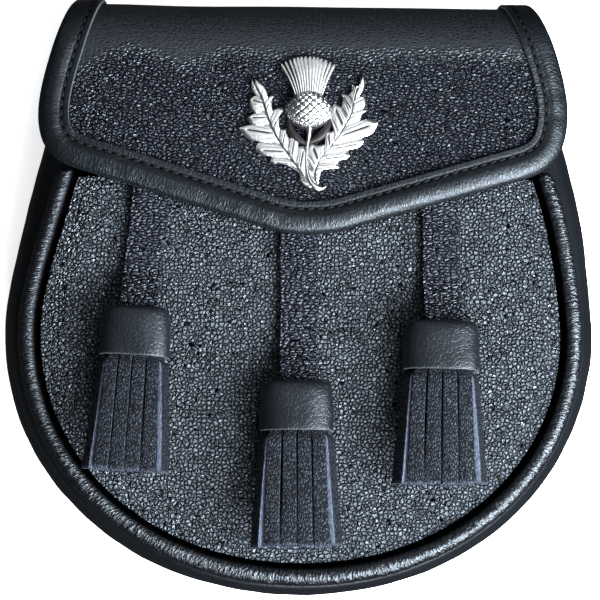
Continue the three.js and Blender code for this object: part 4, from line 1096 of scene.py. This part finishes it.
def make_cap(tassel, seed, material):
    """A leather cup: rings with squared corners, from the inner rim out over the wall to the shoulder
    and in to the strap's hole."""
    hole_x = STRAP_WIDTH / 2 + 1.6
    hole_z = STRAP_THICK / 2 + 2.2
    w, d, rim_y = CAP_HALF_WIDTH * tassel["cut"], CAP_HALF_DEPTH, CAP_LENGTH
    rows = np.array(
        [
            # along, half width, half depth, shift, cut edge
            [rim_y - RIM_ROUND, w - CAP_WALL, d - CAP_WALL, 0, 0],
            [rim_y, w - CAP_WALL + 0.3, d - CAP_WALL + 0.3, 0, 1],
            [rim_y, w - RIM_ROUND, d - RIM_ROUND, 0, 1],
            [rim_y - RIM_ROUND, w, d, 0, 0],
            [rim_y * 0.75, w * 0.995, d * 0.99, 0, 0],
            [rim_y * 0.50, w * 0.985, d * 0.98, 0, 0],
            [rim_y * 0.25, w * 0.965, d * 0.955, 0, 0],
            [rim_y * 0.10, w * 0.935, d * 0.91, -0.1, 0],
            [rim_y * 0.03, w * 0.89, d * 0.84, -0.3, 0],
            [0.0, w * 0.80, d * 0.74, -0.6, 0],
            [0.15, hole_x, hole_z, -1, 0],
            [CAP_WALL + 0.4, hole_x, hole_z, -1, 0],
            [CAP_WALL + 1.6, w * 0.93 - CAP_WALL, d * 0.92 - CAP_WALL, 0, 0],
            [rim_y * 0.6, w * 0.97 - CAP_WALL, d * 0.97 - CAP_WALL, 0, 0],
        ]
    )
    count = 5 * (len(rows) - 1)
    fine = through(rows, count)
    fine[:, 1:3] = np.maximum(fine[:, 1:3], [hole_x - 0.2, hole_z - 0.2])
    turn = np.linspace(0, math.tau, CAP_SIDES + 1)[:-1]
    x = fine[:, 1:2] * squared(np.cos(turn), 2 / CAP_SQUARENESS)
    z = fine[:, 3:4] + fine[:, 2:3] * squared(np.sin(turn), 2 / CAP_SQUARENESS)
    out = smoothstep(fine[:, 1], w * 0.80, w * 0.92)[:, None]
    dent = 0.10 * waves(4 * np.cos(turn) * 3, fine[:, :1], 11, seed) * out
    rings = np.stack([x * (1 + dent / w), -fine[:, :1] + 0 * x, z * (1 + dent / d)], axis=-1)
    rings = turned(rings, tassel["x"], tassel["y"], FRONT_Z + SEAT_GAP + CAP_HALF_DEPTH, tassel["tilt"])
    faces = quads(count, CAP_SIDES, wrap_rows=True, wrap_columns=True).tolist()
    shape = rings.reshape(-1, 3), faces
    marks = {"cut": np.repeat(np.clip(fine[:, 4], 0, 1), CAP_SIDES)}
    name = tassel["name"]
    nodes = [f"tassel_cap_{name}"]
    return piece(f"cap_{name}_leather", shape, material, nodes, marks=marks)


# Strips of a skirt: place in the cap and at the free end as shares of the cap's half width and depth,
# how far the strip's face is turned from the front, the share of the usual width that it is cut to, and
# how pale its cut sides are; below one they are darker as painted shade, where they face into the narrow gaps
# between strips
SKIRT_STRIPS = (
    dict(across=-0.50, out=0.36, end_across=-0.66, end_out=0.86, turn=-5, cut=1.0, pale=0.45),
    dict(across=-0.17, out=0.48, end_across=-0.22, end_out=0.90, turn=-2, cut=1.0, pale=0.45),
    dict(across=0.17, out=0.48, end_across=0.21, end_out=0.92, turn=2, cut=1.0, pale=0.45),
    dict(across=0.50, out=0.36, end_across=0.65, end_out=0.88, turn=6, cut=1.0, pale=0.45),
    dict(across=0.60, out=0.0, end_across=1.07, end_out=0.42, turn=60, cut=1.15, pale=1.0),
    dict(across=0.50, out=-0.27, end_across=0.74, end_out=-0.80, turn=180, cut=1.0, pale=0.45),
    dict(across=0.17, out=-0.32, end_across=0.24, end_out=-0.80, turn=180, cut=1.0, pale=0.45),
    dict(across=-0.17, out=-0.32, end_across=-0.24, end_out=-0.80, turn=180, cut=1.0, pale=0.45),
    dict(across=-0.50, out=-0.27, end_across=-0.74, end_out=-0.80, turn=180, cut=1.0, pale=0.45),
    dict(across=-0.60, out=0.0, end_across=-1.07, end_out=0.42, turn=-60, cut=1.15, pale=1.0),
)


# The share of a strip that is inside the cap, and how pale its cut end is
STRIP_INSIDE = 0.18
STRIP_END_PALE = 0.4


def make_strip(strip, half_width, rng):
    """One strip: a rounded bar from inside the cap to its free end, with its own small bend and twist.
    A first share of its rings is inside the cap; below the rim it spreads quickly and then evenly."""
    share = np.linspace(0, 1, 40)
    top = STRAP_IN_CAP + 1.4
    rim_y = CAP_LENGTH + 0.6
    end = CAP_LENGTH + SKIRT_LENGTH + rng.uniform(-0.5, 0.5)
    below = np.clip((share - STRIP_INSIDE) / (1 - STRIP_INSIDE), 0, 1)
    inside = top + (rim_y - top) * share / STRIP_INSIDE
    along = np.where(share < STRIP_INSIDE, inside, rim_y + (end - rim_y) * below)
    spread = 0.5 * smoothstep(below, -0.03, 0.05) + 0.5 * below
    x = half_width * (strip["across"] + (strip["end_across"] - strip["across"]) * spread)
    z = CAP_HALF_DEPTH * (strip["out"] + (strip["end_out"] - strip["out"]) * spread)
    x = x + 0.22 * rng.normal() * np.sin(below * math.pi) * below
    turn = np.radians(strip["turn"] + rng.normal(0, 2.0) * below)
    width = strip["cut"] * (STRIP_TOP + (STRIP_END + rng.uniform(-0.5, -0.1) - STRIP_TOP) * below)
    width *= half_width / CAP_HALF_WIDTH
    section = rounded_bar(1.0, 1.0, 0.08, per_corner=3)
    across = section[None, :, 0] * width[:, None]
    thick = section[None, :, 1] * STRIP_THICK
    cup = 0.22 * (np.abs(section[None, :, 0]) * 2) ** 2 * -below[:, None]
    rings = np.stack(
        [
            x[:, None] + across * np.cos(turn)[:, None] + (thick + cup) * np.sin(turn)[:, None],
            np.broadcast_to(-along[:, None], across.shape),
            z[:, None] - across * np.sin(turn)[:, None] + (thick + cup) * np.cos(turn)[:, None],
        ],
        axis=-1,
    )
    points, faces = swept(rings)
    # Cut sides paler by the strip's share; a share below one is painted shade in the gaps between strips
    sides = np.where(np.abs(section[:, 0]) > 0.495, strip["pale"], 0.0)
    cut = np.where(share[:, None] > 0.999, STRIP_END_PALE, sides[None])
    return points, faces, cut.ravel()


# The core's width and depth as shares of the cap's, and how far it comes out below the rim
CORE_WIDTH = 0.60
CORE_DEPTH = 0.36
CORE_BELOW_RIM = 6.0


def make_skirt(tassel, seed, material):
    """Strips round an oval core that fills the cap and widens a little below its rim."""
    rng = np.random.default_rng(seed)
    half_width = CAP_HALF_WIDTH * tassel["cut"]
    strips = [make_strip(strip, half_width, rng) for strip in SKIRT_STRIPS]
    turn = np.linspace(0, math.tau, 33)[:-1]
    y = np.linspace(-STRAP_IN_CAP - SEAT_GAP, -CAP_LENGTH - CORE_BELOW_RIM, 8)[:, None]
    grow = 1 + 0.25 * smoothstep(-y, CAP_LENGTH, CAP_LENGTH + CORE_BELOW_RIM)
    x = half_width * CORE_WIDTH * grow * np.cos(turn)
    z = CAP_HALF_DEPTH * CORE_DEPTH * grow * np.sin(turn)
    core = np.stack(np.broadcast_arrays(x, y, z), axis=-1)
    points, faces = joined([(p, f) for p, f, _ in strips] + [swept(core)])
    cut = np.concatenate([c for _, _, c in strips] + [np.zeros(x.size)])
    points = turned(points, tassel["x"], tassel["y"], FRONT_Z + SEAT_GAP + CAP_HALF_DEPTH, tassel["tilt"])
    shape = points, faces
    marks = {"cut": cut}
    name = tassel["name"]
    nodes = [f"tassel_skirt_{name}"]
    return piece(f"skirt_{name}_strips", shape, material, nodes, marks=marks, sharp=50)


# The badge: millimetres from its middle, x to the right and y up

LOBE_BOW = 0.15

# Each half of a leaf: the vein it hangs on, and the points of its lobes and the notches between them
LEFT_VEIN = (
    (-17.0, 12.6), (-14.6, 8.0), (-13.2, 3.5), (-11.2, -1.9),
    (-8.2, -7.2), (-4.2, -13.0), (-1.4, -17.2), (1.6, -20.4),
)
RIGHT_VEIN = (
    (16.9, 14.4), (15.0, 9.1), (13.8, 3.7), (10.9, -2.1),
    (7.1, -7.5), (3.7, -11.7), (2.2, -15.8), (2.6, -19.4),
)
LEFT_OUTER = (
    dict(kind="tip", x=-17.7, y=14.2, vein=0.00),
    dict(kind="notch", x=-16.5, y=8.8, vein=0.13),
    dict(kind="tip", x=-18.5, y=7.6, vein=0.19),
    dict(kind="notch", x=-16.5, y=2.8, vein=0.27),
    dict(kind="tip", x=-19.1, y=1.7, vein=0.33),
    dict(kind="notch", x=-16.6, y=-1.2, vein=0.39),
    dict(kind="tip", x=-21.8, y=-1.8, vein=0.47),
    dict(kind="notch", x=-15.3, y=-6.1, vein=0.56),
    dict(kind="tip", x=-16.3, y=-8.9, vein=0.62),
    dict(kind="notch", x=-11.9, y=-10.6, vein=0.68),
    dict(kind="tip", x=-12.0, y=-12.7, vein=0.72),
    dict(kind="notch", x=-8.2, y=-12.0, vein=0.78),
    dict(kind="tip", x=-5.0, y=-14.2, vein=0.85),
    dict(kind="notch", x=-2.6, y=-18.0, vein=0.92),
    dict(kind="tip", x=0.6, y=-20.9, vein=1.00),
)
LEFT_INNER = (
    dict(kind="tip", x=-16.8, y=14.2, vein=0.00),
    dict(kind="notch", x=-12.6, y=8.2, vein=0.20),
    dict(kind="tip", x=-10.5, y=9.1, vein=0.25),
    dict(kind="notch", x=-11.0, y=4.2, vein=0.36),
    dict(kind="tip", x=-7.4, y=4.7, vein=0.42),
    dict(kind="notch", x=-8.9, y=-1.6, vein=0.53),
    dict(kind="tip", x=-6.8, y=-1.7, vein=0.57),
    dict(kind="notch", x=-5.8, y=-4.6, vein=0.63),
    dict(kind="tip", x=-4.1, y=-3.2, vein=0.67),
    dict(kind="notch", x=-3.2, y=-7.4, vein=0.73),
    dict(kind="tip", x=-1.3, y=-7.2, vein=0.78),
    dict(kind="notch", x=-1.2, y=-14.0, vein=0.88),
    dict(kind="tip", x=1.0, y=-19.6, vein=1.00),
)
RIGHT_OUTER = (
    dict(kind="tip", x=17.5, y=15.9, vein=0.00),
    dict(kind="notch", x=16.2, y=8.9, vein=0.16),
    dict(kind="tip", x=18.1, y=8.6, vein=0.21),
    dict(kind="notch", x=17.5, y=5.0, vein=0.29),
    dict(kind="tip", x=18.9, y=4.2, vein=0.33),
    dict(kind="notch", x=16.3, y=0.9, vein=0.40),
    dict(kind="tip", x=22.3, y=0.5, vein=0.48),
    dict(kind="notch", x=16.9, y=-4.6, vein=0.56),
    dict(kind="tip", x=17.6, y=-5.9, vein=0.60),
    dict(kind="notch", x=12.7, y=-8.4, vein=0.66),
    dict(kind="tip", x=13.2, y=-10.2, vein=0.71),
    dict(kind="notch", x=9.9, y=-11.8, vein=0.76),
    dict(kind="tip", x=9.8, y=-14.2, vein=0.81),
    dict(kind="notch", x=5.9, y=-13.9, vein=0.87),
    dict(kind="tip", x=3.9, y=-17.0, vein=0.94),
    dict(kind="notch", x=3.5, y=-19.2, vein=1.00),
)
RIGHT_INNER = (
    dict(kind="tip", x=16.7, y=15.9, vein=0.00),
    dict(kind="notch", x=15.2, y=11.6, vein=0.09),
    dict(kind="tip", x=13.8, y=13.0, vein=0.13),
    dict(kind="notch", x=12.8, y=9.1, vein=0.22),
    dict(kind="tip", x=10.5, y=9.7, vein=0.27),
    dict(kind="notch", x=10.4, y=5.4, vein=0.35),
    dict(kind="tip", x=8.1, y=6.3, vein=0.41),
    dict(kind="notch", x=8.5, y=-2.0, vein=0.53),
    dict(kind="tip", x=6.3, y=-2.3, vein=0.58),
    dict(kind="notch", x=5.8, y=-6.4, vein=0.66),
    dict(kind="tip", x=1.2, y=-6.6, vein=0.74),
    dict(kind="notch", x=-0.6, y=-13.0, vein=0.86),
    dict(kind="tip", x=1.4, y=-19.4, vein=1.00),
)


def lobe_phase(table, place):
    """Zero on the line to each lobe's point and one at the notches beside it, from a place along the vein."""
    stops = np.array([row["vein"] for row in table])
    level = np.array([0.0 if row["kind"] == "tip" else 1.0 for row in table])
    return np.interp(place, stops, level)


def lobed_edge(table, place):
    """The lobed edge at places along the vein: each side of a lobe is bowed outwards by a share of its
    length, and the points are rounded off by a short moving average."""
    stops = np.array([row["vein"] for row in table])
    corners = np.array([(row["x"], row["y"]) for row in table])
    line = np.stack([np.interp(place, stops, corners[:, k]) for k in (0, 1)], axis=1)
    which = np.clip(np.searchsorted(stops, place, side="right") - 1, 0, len(stops) - 2)
    share = (place - stops[which]) / (stops[which + 1] - stops[which])
    side = corners[which + 1] - corners[which]
    outward = np.stack([side[:, 1], -side[:, 0]], axis=1)
    away = line - corners.mean(axis=0)
    outward *= np.sign(np.sum(outward * away, axis=1))[:, None]
    line += LOBE_BOW * np.sin(np.pi * np.clip(share, 0, 1))[:, None] * outward
    for _ in range(2):
        line[1:-1] = (line[:-2] + 2 * line[1:-1] + line[2:]) / 4
    return line


# Height of a leaf, how far its lobes swell, how deep its lines are cut and how far its rim falls
LEAF = dict(
    height=1.0, swell=0.26, nerve=0.20, second=0.12, valley=0.18, groove=0.40, rim=0.30, thinnest=0.45
)


def make_half_leaf(vein, table):
    """Surface ruled from the vein to the lobed edge: each lobe swells along its own line, with an
    engraved nerve on it and a second one beside it, a valley between lobes and the deep groove of the
    vein. The lines are bell curves across, and fade towards their ends."""
    place = np.linspace(0, 1, 300)
    edge = lobed_edge(table, place)
    spine = through(vein, len(place))
    from_vein = np.linspace(0, 1, 22)[None]
    bend = from_vein[..., None]
    flat = spine[:, None] * (1 - bend) + edge[:, None] * bend
    away = lobe_phase(table, place)[:, None]
    width = np.linalg.norm(edge - spine, axis=1)[:, None] * from_vein
    swell = (1 - away**1.6) * np.sin(np.pi * np.clip(from_vein * 0.75 + 0.2, 0, 1))
    fading = smoothstep(from_vein, 0.05, 0.2) * (1 - smoothstep(from_vein, 0.7, 0.9))
    nerve = np.exp(-((away / 0.10) ** 2)) * fading
    second = np.exp(-(((away - 0.5) / 0.07) ** 2)) * smoothstep(from_vein, 0.15, 0.3) * (1 - from_vein)
    valley = smoothstep(away, 0.84, 1.0) * smoothstep(from_vein, 0.1, 0.5)
    groove = np.exp(-((width / 0.24) ** 2))
    height = LEAF["height"] + LEAF["swell"] * swell - LEAF["nerve"] * nerve - LEAF["second"] * second
    height = height - LEAF["valley"] * valley - LEAF["groove"] * groove
    height = np.maximum(LEAF["thinnest"], height - LEAF["rim"] * smoothstep(from_vein, 0.88, 1.0))
    recess = np.clip(groove + 0.9 * nerve + 0.6 * second + 0.6 * valley * (1 - from_vein * 0.6), 0, 1)
    top = np.concatenate([flat, height[..., None]], axis=-1)
    bottom = np.concatenate([flat, np.zeros_like(height)[..., None]], axis=-1)
    points, faces = slab(top, bottom)
    return points, faces, np.concatenate([recess.ravel(), np.full(recess.size, 0.6)])


def arched_bar(middle, side, half, top, recess):
    """A closed bar on the plate: across each point of its middle line an arch of heights, down to flat
    feet. The recess of a section is the same all along, and full at the feet."""
    across = half[:, None] * np.cos(np.linspace(0, math.pi, top.shape[1]))
    ring = np.stack(
        [middle[:, :1] + side[..., :1] * across, middle[:, 1:2] + side[..., 1:2] * across, top], axis=-1
    )
    feet = ring[:, [-1, 0]].copy()
    feet[..., 2] = 0.0
    points, faces = swept(np.concatenate([ring, feet], axis=1))
    recess = np.concatenate([recess, [1.0, 1.0]])
    return points, faces, np.tile(recess, len(middle))


# The flower's ribs: how many, the neck they start from, the curved top they end at and their relief
CROWN = dict(ribs=14, neck_x=0.25, neck_y=9.2, neck_half=4.2, top_y=21.4, top_half=8.35, top_fall=2.3)
RIB = dict(half=0.36, high=0.32, base=1.25, rounding=0.65, bulge=0.35, bow=0.35)


def make_crown():
    """The flower: flat-topped ribs that fan out from the neck to a curved top and bow a little; the
    outer ones are narrower and stand apart."""
    share = np.linspace(-1, 1, CROWN["ribs"])
    top_x = share * CROWN["top_half"] + 0.12 * np.sin(share * 9)
    top_y = CROWN["top_y"] - CROWN["top_fall"] * np.abs(share) ** 2.2
    t = np.linspace(0, 1, 16)
    arch = np.sin(np.linspace(0, math.pi, 9))
    widen = RIB["half"] * (1 + t) * (1 - 0.5 * smoothstep(t, 0.94, 1.0))
    parts = []
    for place, end_x, end_y in zip(share, top_x, top_y):
        loose = place < -0.6 or place > 0.82
        start = np.array([CROWN["neck_x"] + place * CROWN["neck_half"], CROWN["neck_y"]])
        way = np.array([end_x, end_y]) - start
        middle = start + way * t[:, None]
        middle[:, 0] -= RIB["bow"] * place * np.sin(np.pi * t)
        side = np.array([way[1], -way[0]]) / np.linalg.norm(way)
        half = widen * (0.72 if loose else 1.0)
        base = RIB["base"] + RIB["rounding"] * (1 - place**2) + RIB["bulge"] * np.sin(np.pi * t)
        top = base[:, None] + RIB["high"] * arch**0.45 * np.minimum(1, (1.1 - t[:, None]) * 9)
        patina_and_shade = 0.6 if loose else 0.85
        points, faces, recess = arched_bar(middle, side, half, top, 1 - arch**0.55)
        parts.append((points, faces, recess * patina_and_shade))
    return parts


# The bulb: its middle, its half width, its reach upwards and downwards, its dome and its scales, with
# how many there are to a radian round it and up it
HEAD = dict(x=0.3, y=4.1, half=7.5, above=6.4, below=6.2, dome=4.1, scale=0.75, around=2.35, upwards=2.6)


def make_head():
    """The bulb: a squat dome on a square grid pressed into a disc, with rows of pointed scales on two
    families of slanting lines, each scale highest at its own upper point."""
    steps = np.linspace(-1, 1, 128)
    a, b = np.meshgrid(steps, steps)
    disc_x = a * np.sqrt(1 - b**2 / 2)
    disc_y = b * np.sqrt(1 - a**2 / 2)
    radius = np.minimum(1, np.hypot(disc_x, disc_y))
    tall = np.where(disc_y > 0, HEAD["above"], HEAD["below"])
    widen = 1 - 0.16 * np.clip(disc_y, 0, 1) ** 2 - 0.10 * np.clip(-disc_y, 0, 1) ** 2
    x = HEAD["x"] + HEAD["half"] * disc_x * widen
    y = HEAD["y"] + tall * disc_y
    dome = (1 - radius**2.4) ** 0.55
    latitude = np.arcsin(np.clip(disc_y, -1, 1))
    longitude = np.arcsin(np.clip(disc_x / np.sqrt(np.maximum(0.02, 1 - disc_y**2)), -1, 1))
    sway = 0.12 * np.sin(5 * longitude + 3 * latitude)
    p = longitude * HEAD["around"] + latitude * HEAD["upwards"] + sway
    q = longitude * HEAD["around"] - latitude * HEAD["upwards"] + sway
    in_p, in_q = p - np.round(p), q - np.round(q)
    crease = 2 * np.maximum(np.abs(in_p), np.abs(in_q))
    upper = np.clip((in_p - in_q) + 0.5, 0, 1)
    scale = (1 - crease**4) * (0.25 + 0.75 * upper)
    fade = 1 - smoothstep(radius, 0.86, 0.99)
    height = BADGE_PLATE + HEAD["dome"] * dome + HEAD["scale"] * scale * fade * (0.4 + 0.6 * dome)
    recess = smoothstep(crease, 0.66, 1.0) * 0.95 + 0.25 * smoothstep(radius, 0.8, 1.0)
    top = np.stack([x, y, height], axis=-1)
    bottom = np.stack([x, y, 0 * x], axis=-1)
    points, faces = slab(top, bottom)
    return points, faces, np.concatenate([np.clip(recess, 0, 1).ravel(), np.ones(recess.size)])


# Bracts under the head and the stalk between the leaves: points with the half width and height there
BRACTS = (
    (dict(x=-6.2, y=1.2, half=0.6, top=1.0), dict(x=-5.2, y=-2.6, half=1.1, top=1.6),
     dict(x=-3.2, y=-5.0, half=1.2, top=1.7), dict(x=-0.4, y=-6.6, half=0.6, top=1.3)),
    (dict(x=6.9, y=2.2, half=0.6, top=1.0), dict(x=5.8, y=-1.6, half=1.2, top=1.6),
     dict(x=3.8, y=-4.2, half=1.3, top=1.8), dict(x=0.6, y=-6.2, half=0.6, top=1.4)),
)
# How dark the bracts are made all over: painted shade, with the patina
BRACT_PATINA_AND_SHADE = 0.72
STALK = (
    dict(x=0.4, y=-1.4, half=1.1, top=2.6), dict(x=0.2, y=-4.6, half=0.8, top=2.1),
    dict(x=-0.3, y=-8.2, half=0.55, top=1.9), dict(x=-0.5, y=-14.0, half=0.55, top=1.5),
    dict(x=0.6, y=-18.6, half=0.9, top=1.5), dict(x=2.6, y=-20.6, half=1.05, top=1.4),
    dict(x=4.4, y=-20.9, half=0.6, top=1.0), dict(x=5.7, y=-20.3, half=0.15, top=0.6),
)


def make_stem(table, patina_and_shade):
    """A ridged stem through a few points, arched in section."""
    rows = through([[row[k] for k in ("x", "y", "half", "top")] for row in table], 50)
    way = np.gradient(rows[:, :2], axis=0)
    way /= np.linalg.norm(way, axis=1, keepdims=True)
    side = np.stack([way[:, 1], -way[:, 0]], axis=1)
    arch = np.sin(np.linspace(0, math.pi, 11))
    top = rows[:, 3:4] * (0.35 + 0.65 * arch**0.8)
    points, faces, recess = arched_bar(rows, side, rows[:, 2], top, 1 - arch**0.6)
    # The darkness added here is painted shade as well as patina
    return points, faces, np.clip(recess * 0.8 + patina_and_shade, 0, 1)


def make_post(end):
    """One plain round post behind the badge."""
    turn = np.linspace(0, math.tau, 21)[:-1]
    x = POST_RADIUS * np.cos(turn)
    y = end * POST_SPACING / 2 - POSTS_BELOW_MIDDLE + POST_RADIUS * np.sin(turn)
    z = np.array([[-FLAP_THICK - 0.1], [0.3]])
    points, faces = swept(np.stack(np.broadcast_arrays(x, y, z), axis=-1))
    return points, faces, np.full(len(points), 0.5)


def make_badge(material):
    """The cast thistle: two lobed leaves, the stalk, the bracts, the bulb and its flower."""
    parts = [
        make_half_leaf(LEFT_VEIN, LEFT_OUTER),
        make_half_leaf(LEFT_VEIN, LEFT_INNER),
        make_half_leaf(RIGHT_VEIN, RIGHT_OUTER),
        make_half_leaf(RIGHT_VEIN, RIGHT_INNER),
        make_head(),
        *make_crown(),
        *(make_stem(bract, BRACT_PATINA_AND_SHADE) for bract in BRACTS),
        make_stem(STALK, 0.0),
        make_post(-1),
        make_post(1),
    ]
    points, faces = joined([(points, facing_out(points, faces)) for points, faces, _ in parts])
    shape = points + [BADGE_X, BADGE_Y, BADGE_Z], faces
    marks = {"recess": np.concatenate([recess for _, _, recess in parts])}
    return piece("thistle_casting", shape, material, ["thistle_badge"], marks=marks, sharp=35)


def facing_out(points, faces):
    """The faces of a closed part, reversed if they point in."""
    volume = 0.0
    for size in {len(face) for face in faces}:
        corners = np.array([face for face in faces if len(face) == size])
        for k in range(1, size - 1):
            a, b, c = points[corners[:, 0]], points[corners[:, k]], points[corners[:, k + 1]]
            volume += float(np.einsum("ij,ij->", a, np.cross(b, c)))
    return faces if volume > 0 else [face[::-1] for face in faces]


# Camera, floor and light

# Half the floor's side in metres; the camera's lengths are in millimetres, as the part's are
FLOOR_REACH = 3.0
CAMERA_TARGET = np.array([0.0, 10.0, 20.0])
CAMERA_WAY = np.array([-0.036, -0.150, 0.0])
CAMERA_DISTANCE = 560.0
CAMERA_LENS = 103.1


def make_camera():
    """Looks down at the pouch, a little from the left and from below its lower edge."""
    way = CAMERA_WAY.copy()
    way[2] = math.sqrt(1 - way @ way)
    target = (CAMERA_TARGET - [0, CENTRE_Y, 0]) * MM
    eye = target + way * CAMERA_DISTANCE * MM
    right = np.cross(-way, [0, 1, 0])
    right /= np.linalg.norm(right)
    up = np.cross(right, -way)
    data = bpy.data.cameras.new("photo_camera")
    data.lens = CAMERA_LENS
    data.sensor_width = 36.0
    data.clip_start = 0.01
    data.clip_end = 20.0
    camera = bpy.data.objects.new("photo_camera", data)
    camera.matrix_world = Matrix([[right[k], up[k], way[k], eye[k]] for k in range(3)] + [[0, 0, 0, 1]])
    bpy.context.scene.collection.objects.link(camera)
    bpy.context.scene.camera = camera


def make_floor():
    """A pale plane under the pouch."""
    mesh = bpy.data.meshes.new("floor")
    corners = [(x * FLOOR_REACH, y * FLOOR_REACH, 0) for x, y in ((-1, -1), (1, -1), (1, 1), (-1, 1))]
    mesh.from_pydata(corners, [], [(0, 1, 2, 3)])
    finish = Finish("pale_paper", Specular_IOR_Level=0.1)
    mottle = finish.noise(finish.place(), 60.0, 2.0)
    tone = finish.mix(mottle, rgb(0.86, 0.86, 0.865), rgb(0.89, 0.89, 0.89))
    paper = finish.surface(Base_Color=tone, Roughness=0.9, Emission_Color=tone, Emission_Strength=0.75)
    mesh.materials.append(paper)
    floor = bpy.data.objects.new("floor", mesh)
    floor.visible_glossy = False
    bpy.context.scene.collection.objects.link(floor)


# Each light: the way to it from the pouch, its distance and size in metres, its watts and its colour
LIGHTS = (
    dict(name="ceiling", way=(0.36, -0.02, 1.0), distance=1.3, size=(1.15, 1.0), power=9.0,
         colour=(0.90, 0.95, 1.0)),
    dict(name="window", way=(0.35, -1.0, 0.72), distance=1.3, size=(0.8, 0.45), power=48.0,
         colour=(0.88, 0.94, 1.0)),
    dict(name="lower_right", way=(1.0, -0.55, 0.90), distance=0.60, size=(0.38, 0.38), power=24.0,
         colour=(0.86, 0.94, 1.0)),
    dict(name="upper_left", way=(-0.35, 0.75, 1.0), distance=1.3, size=(1.1, 0.9), power=2.4,
         colour=(0.94, 0.95, 1.0)),
)


def make_light(name, way, distance, size, power, colour):
    """A soft rectangular light that faces the pouch."""
    data = bpy.data.lights.new(name, "AREA")
    data.shape = "RECTANGLE"
    data.size, data.size_y = size
    data.energy = power
    data.color = colour
    light = bpy.data.objects.new(name, data)
    place = Vector(way).normalized() * distance
    light.location = place + Vector((0, 0, 0.02))
    light.rotation_mode = "QUATERNION"
    light.rotation_quaternion = (-place).to_track_quat("-Z", "Y")
    bpy.context.scene.collection.objects.link(light)


def make_studio():
    """A broad soft light overhead, a window beyond the lower edge, a closer light at the lower right, a
    faint one at the upper left, and a dim surround."""
    for light in LIGHTS:
        make_light(**light)
    world = bpy.data.worlds.new("surround")
    world.use_nodes = True
    background = world.node_tree.nodes["Background"]
    background.inputs["Color"].default_value = (0.93, 0.96, 1.0, 1.0)
    background.inputs["Strength"].default_value = 0.06
    bpy.context.scene.world = world
    bpy.context.scene.view_settings.view_transform = "Standard"


def dress():
    """Makes every visible piece with its finish."""
    # The panel and the flap are the same leather: the panel's paler tone is painted sheen, and the flap's
    # much darker tone is painted shade
    panel = pebble_leather(
        "panel_grain", stretch=(1.0, 1.0, 1.0), cell=1.30, depth=0.92, tone=(0.060, 0.069, 0.080), shine=0.76
    )
    flap = pebble_leather(
        "flap_grain", stretch=(1.6, 1.0, 1.0), cell=1.05, depth=0.80, tone=(0.012, 0.013, 0.020), shine=0.45,
        turn=(0, 0, 0.12),
    )
    strap = pebble_leather(
        "strap_grain", stretch=(1.7, 0.9, 1.0), cell=1.15, depth=0.62, tone=(0.022, 0.023, 0.033), shine=0.38
    )
    smooth = smooth_leather("smooth_calf", tint=0.25, gloss=0.18, roughness=0.40, depth=0.05)
    cap = smooth_leather("cap_calf", tint=0.4, gloss=0.25, roughness=0.36, depth=0.10)
    roll = rippled_leather(
        "piping_calf", depth=0.36, across=3.2, gloss=0.42, roughness=0.19, tone=(0.0045, 0.005, 0.007)
    )
    border = rippled_leather(
        "border_calf", depth=0.15, across=2.2, gloss=0.30, roughness=0.29, tone=(0.0040, 0.0055, 0.0075)
    )
    fringe = fringe_leather("fringe_hide")
    silver = cast_silver("cast_silver")
    black_thread = thread("waxed_thread")

    make_gusset(smooth)
    make_piping(roll)
    make_front_panel(panel)
    make_back(smooth)
    make_flap(flap)
    make_binding(border)
    make_flap_stitches(black_thread)
    make_back_stitches(black_thread)
    for side in (-1, 1):
        make_belt_loop(side, smooth)
    for k, tassel in enumerate(TASSELS):
        make_strap(tassel, strap)
        make_cap(tassel, 81 + k, cap)
        make_skirt(tassel, 91 + k, fringe)
    make_badge(silver)
    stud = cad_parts["closing_stud"]
    for place in stud.material_slots:
        place.material = plain_steel("stud_steel")


make_camera()
make_floor()
make_studio()
dress()
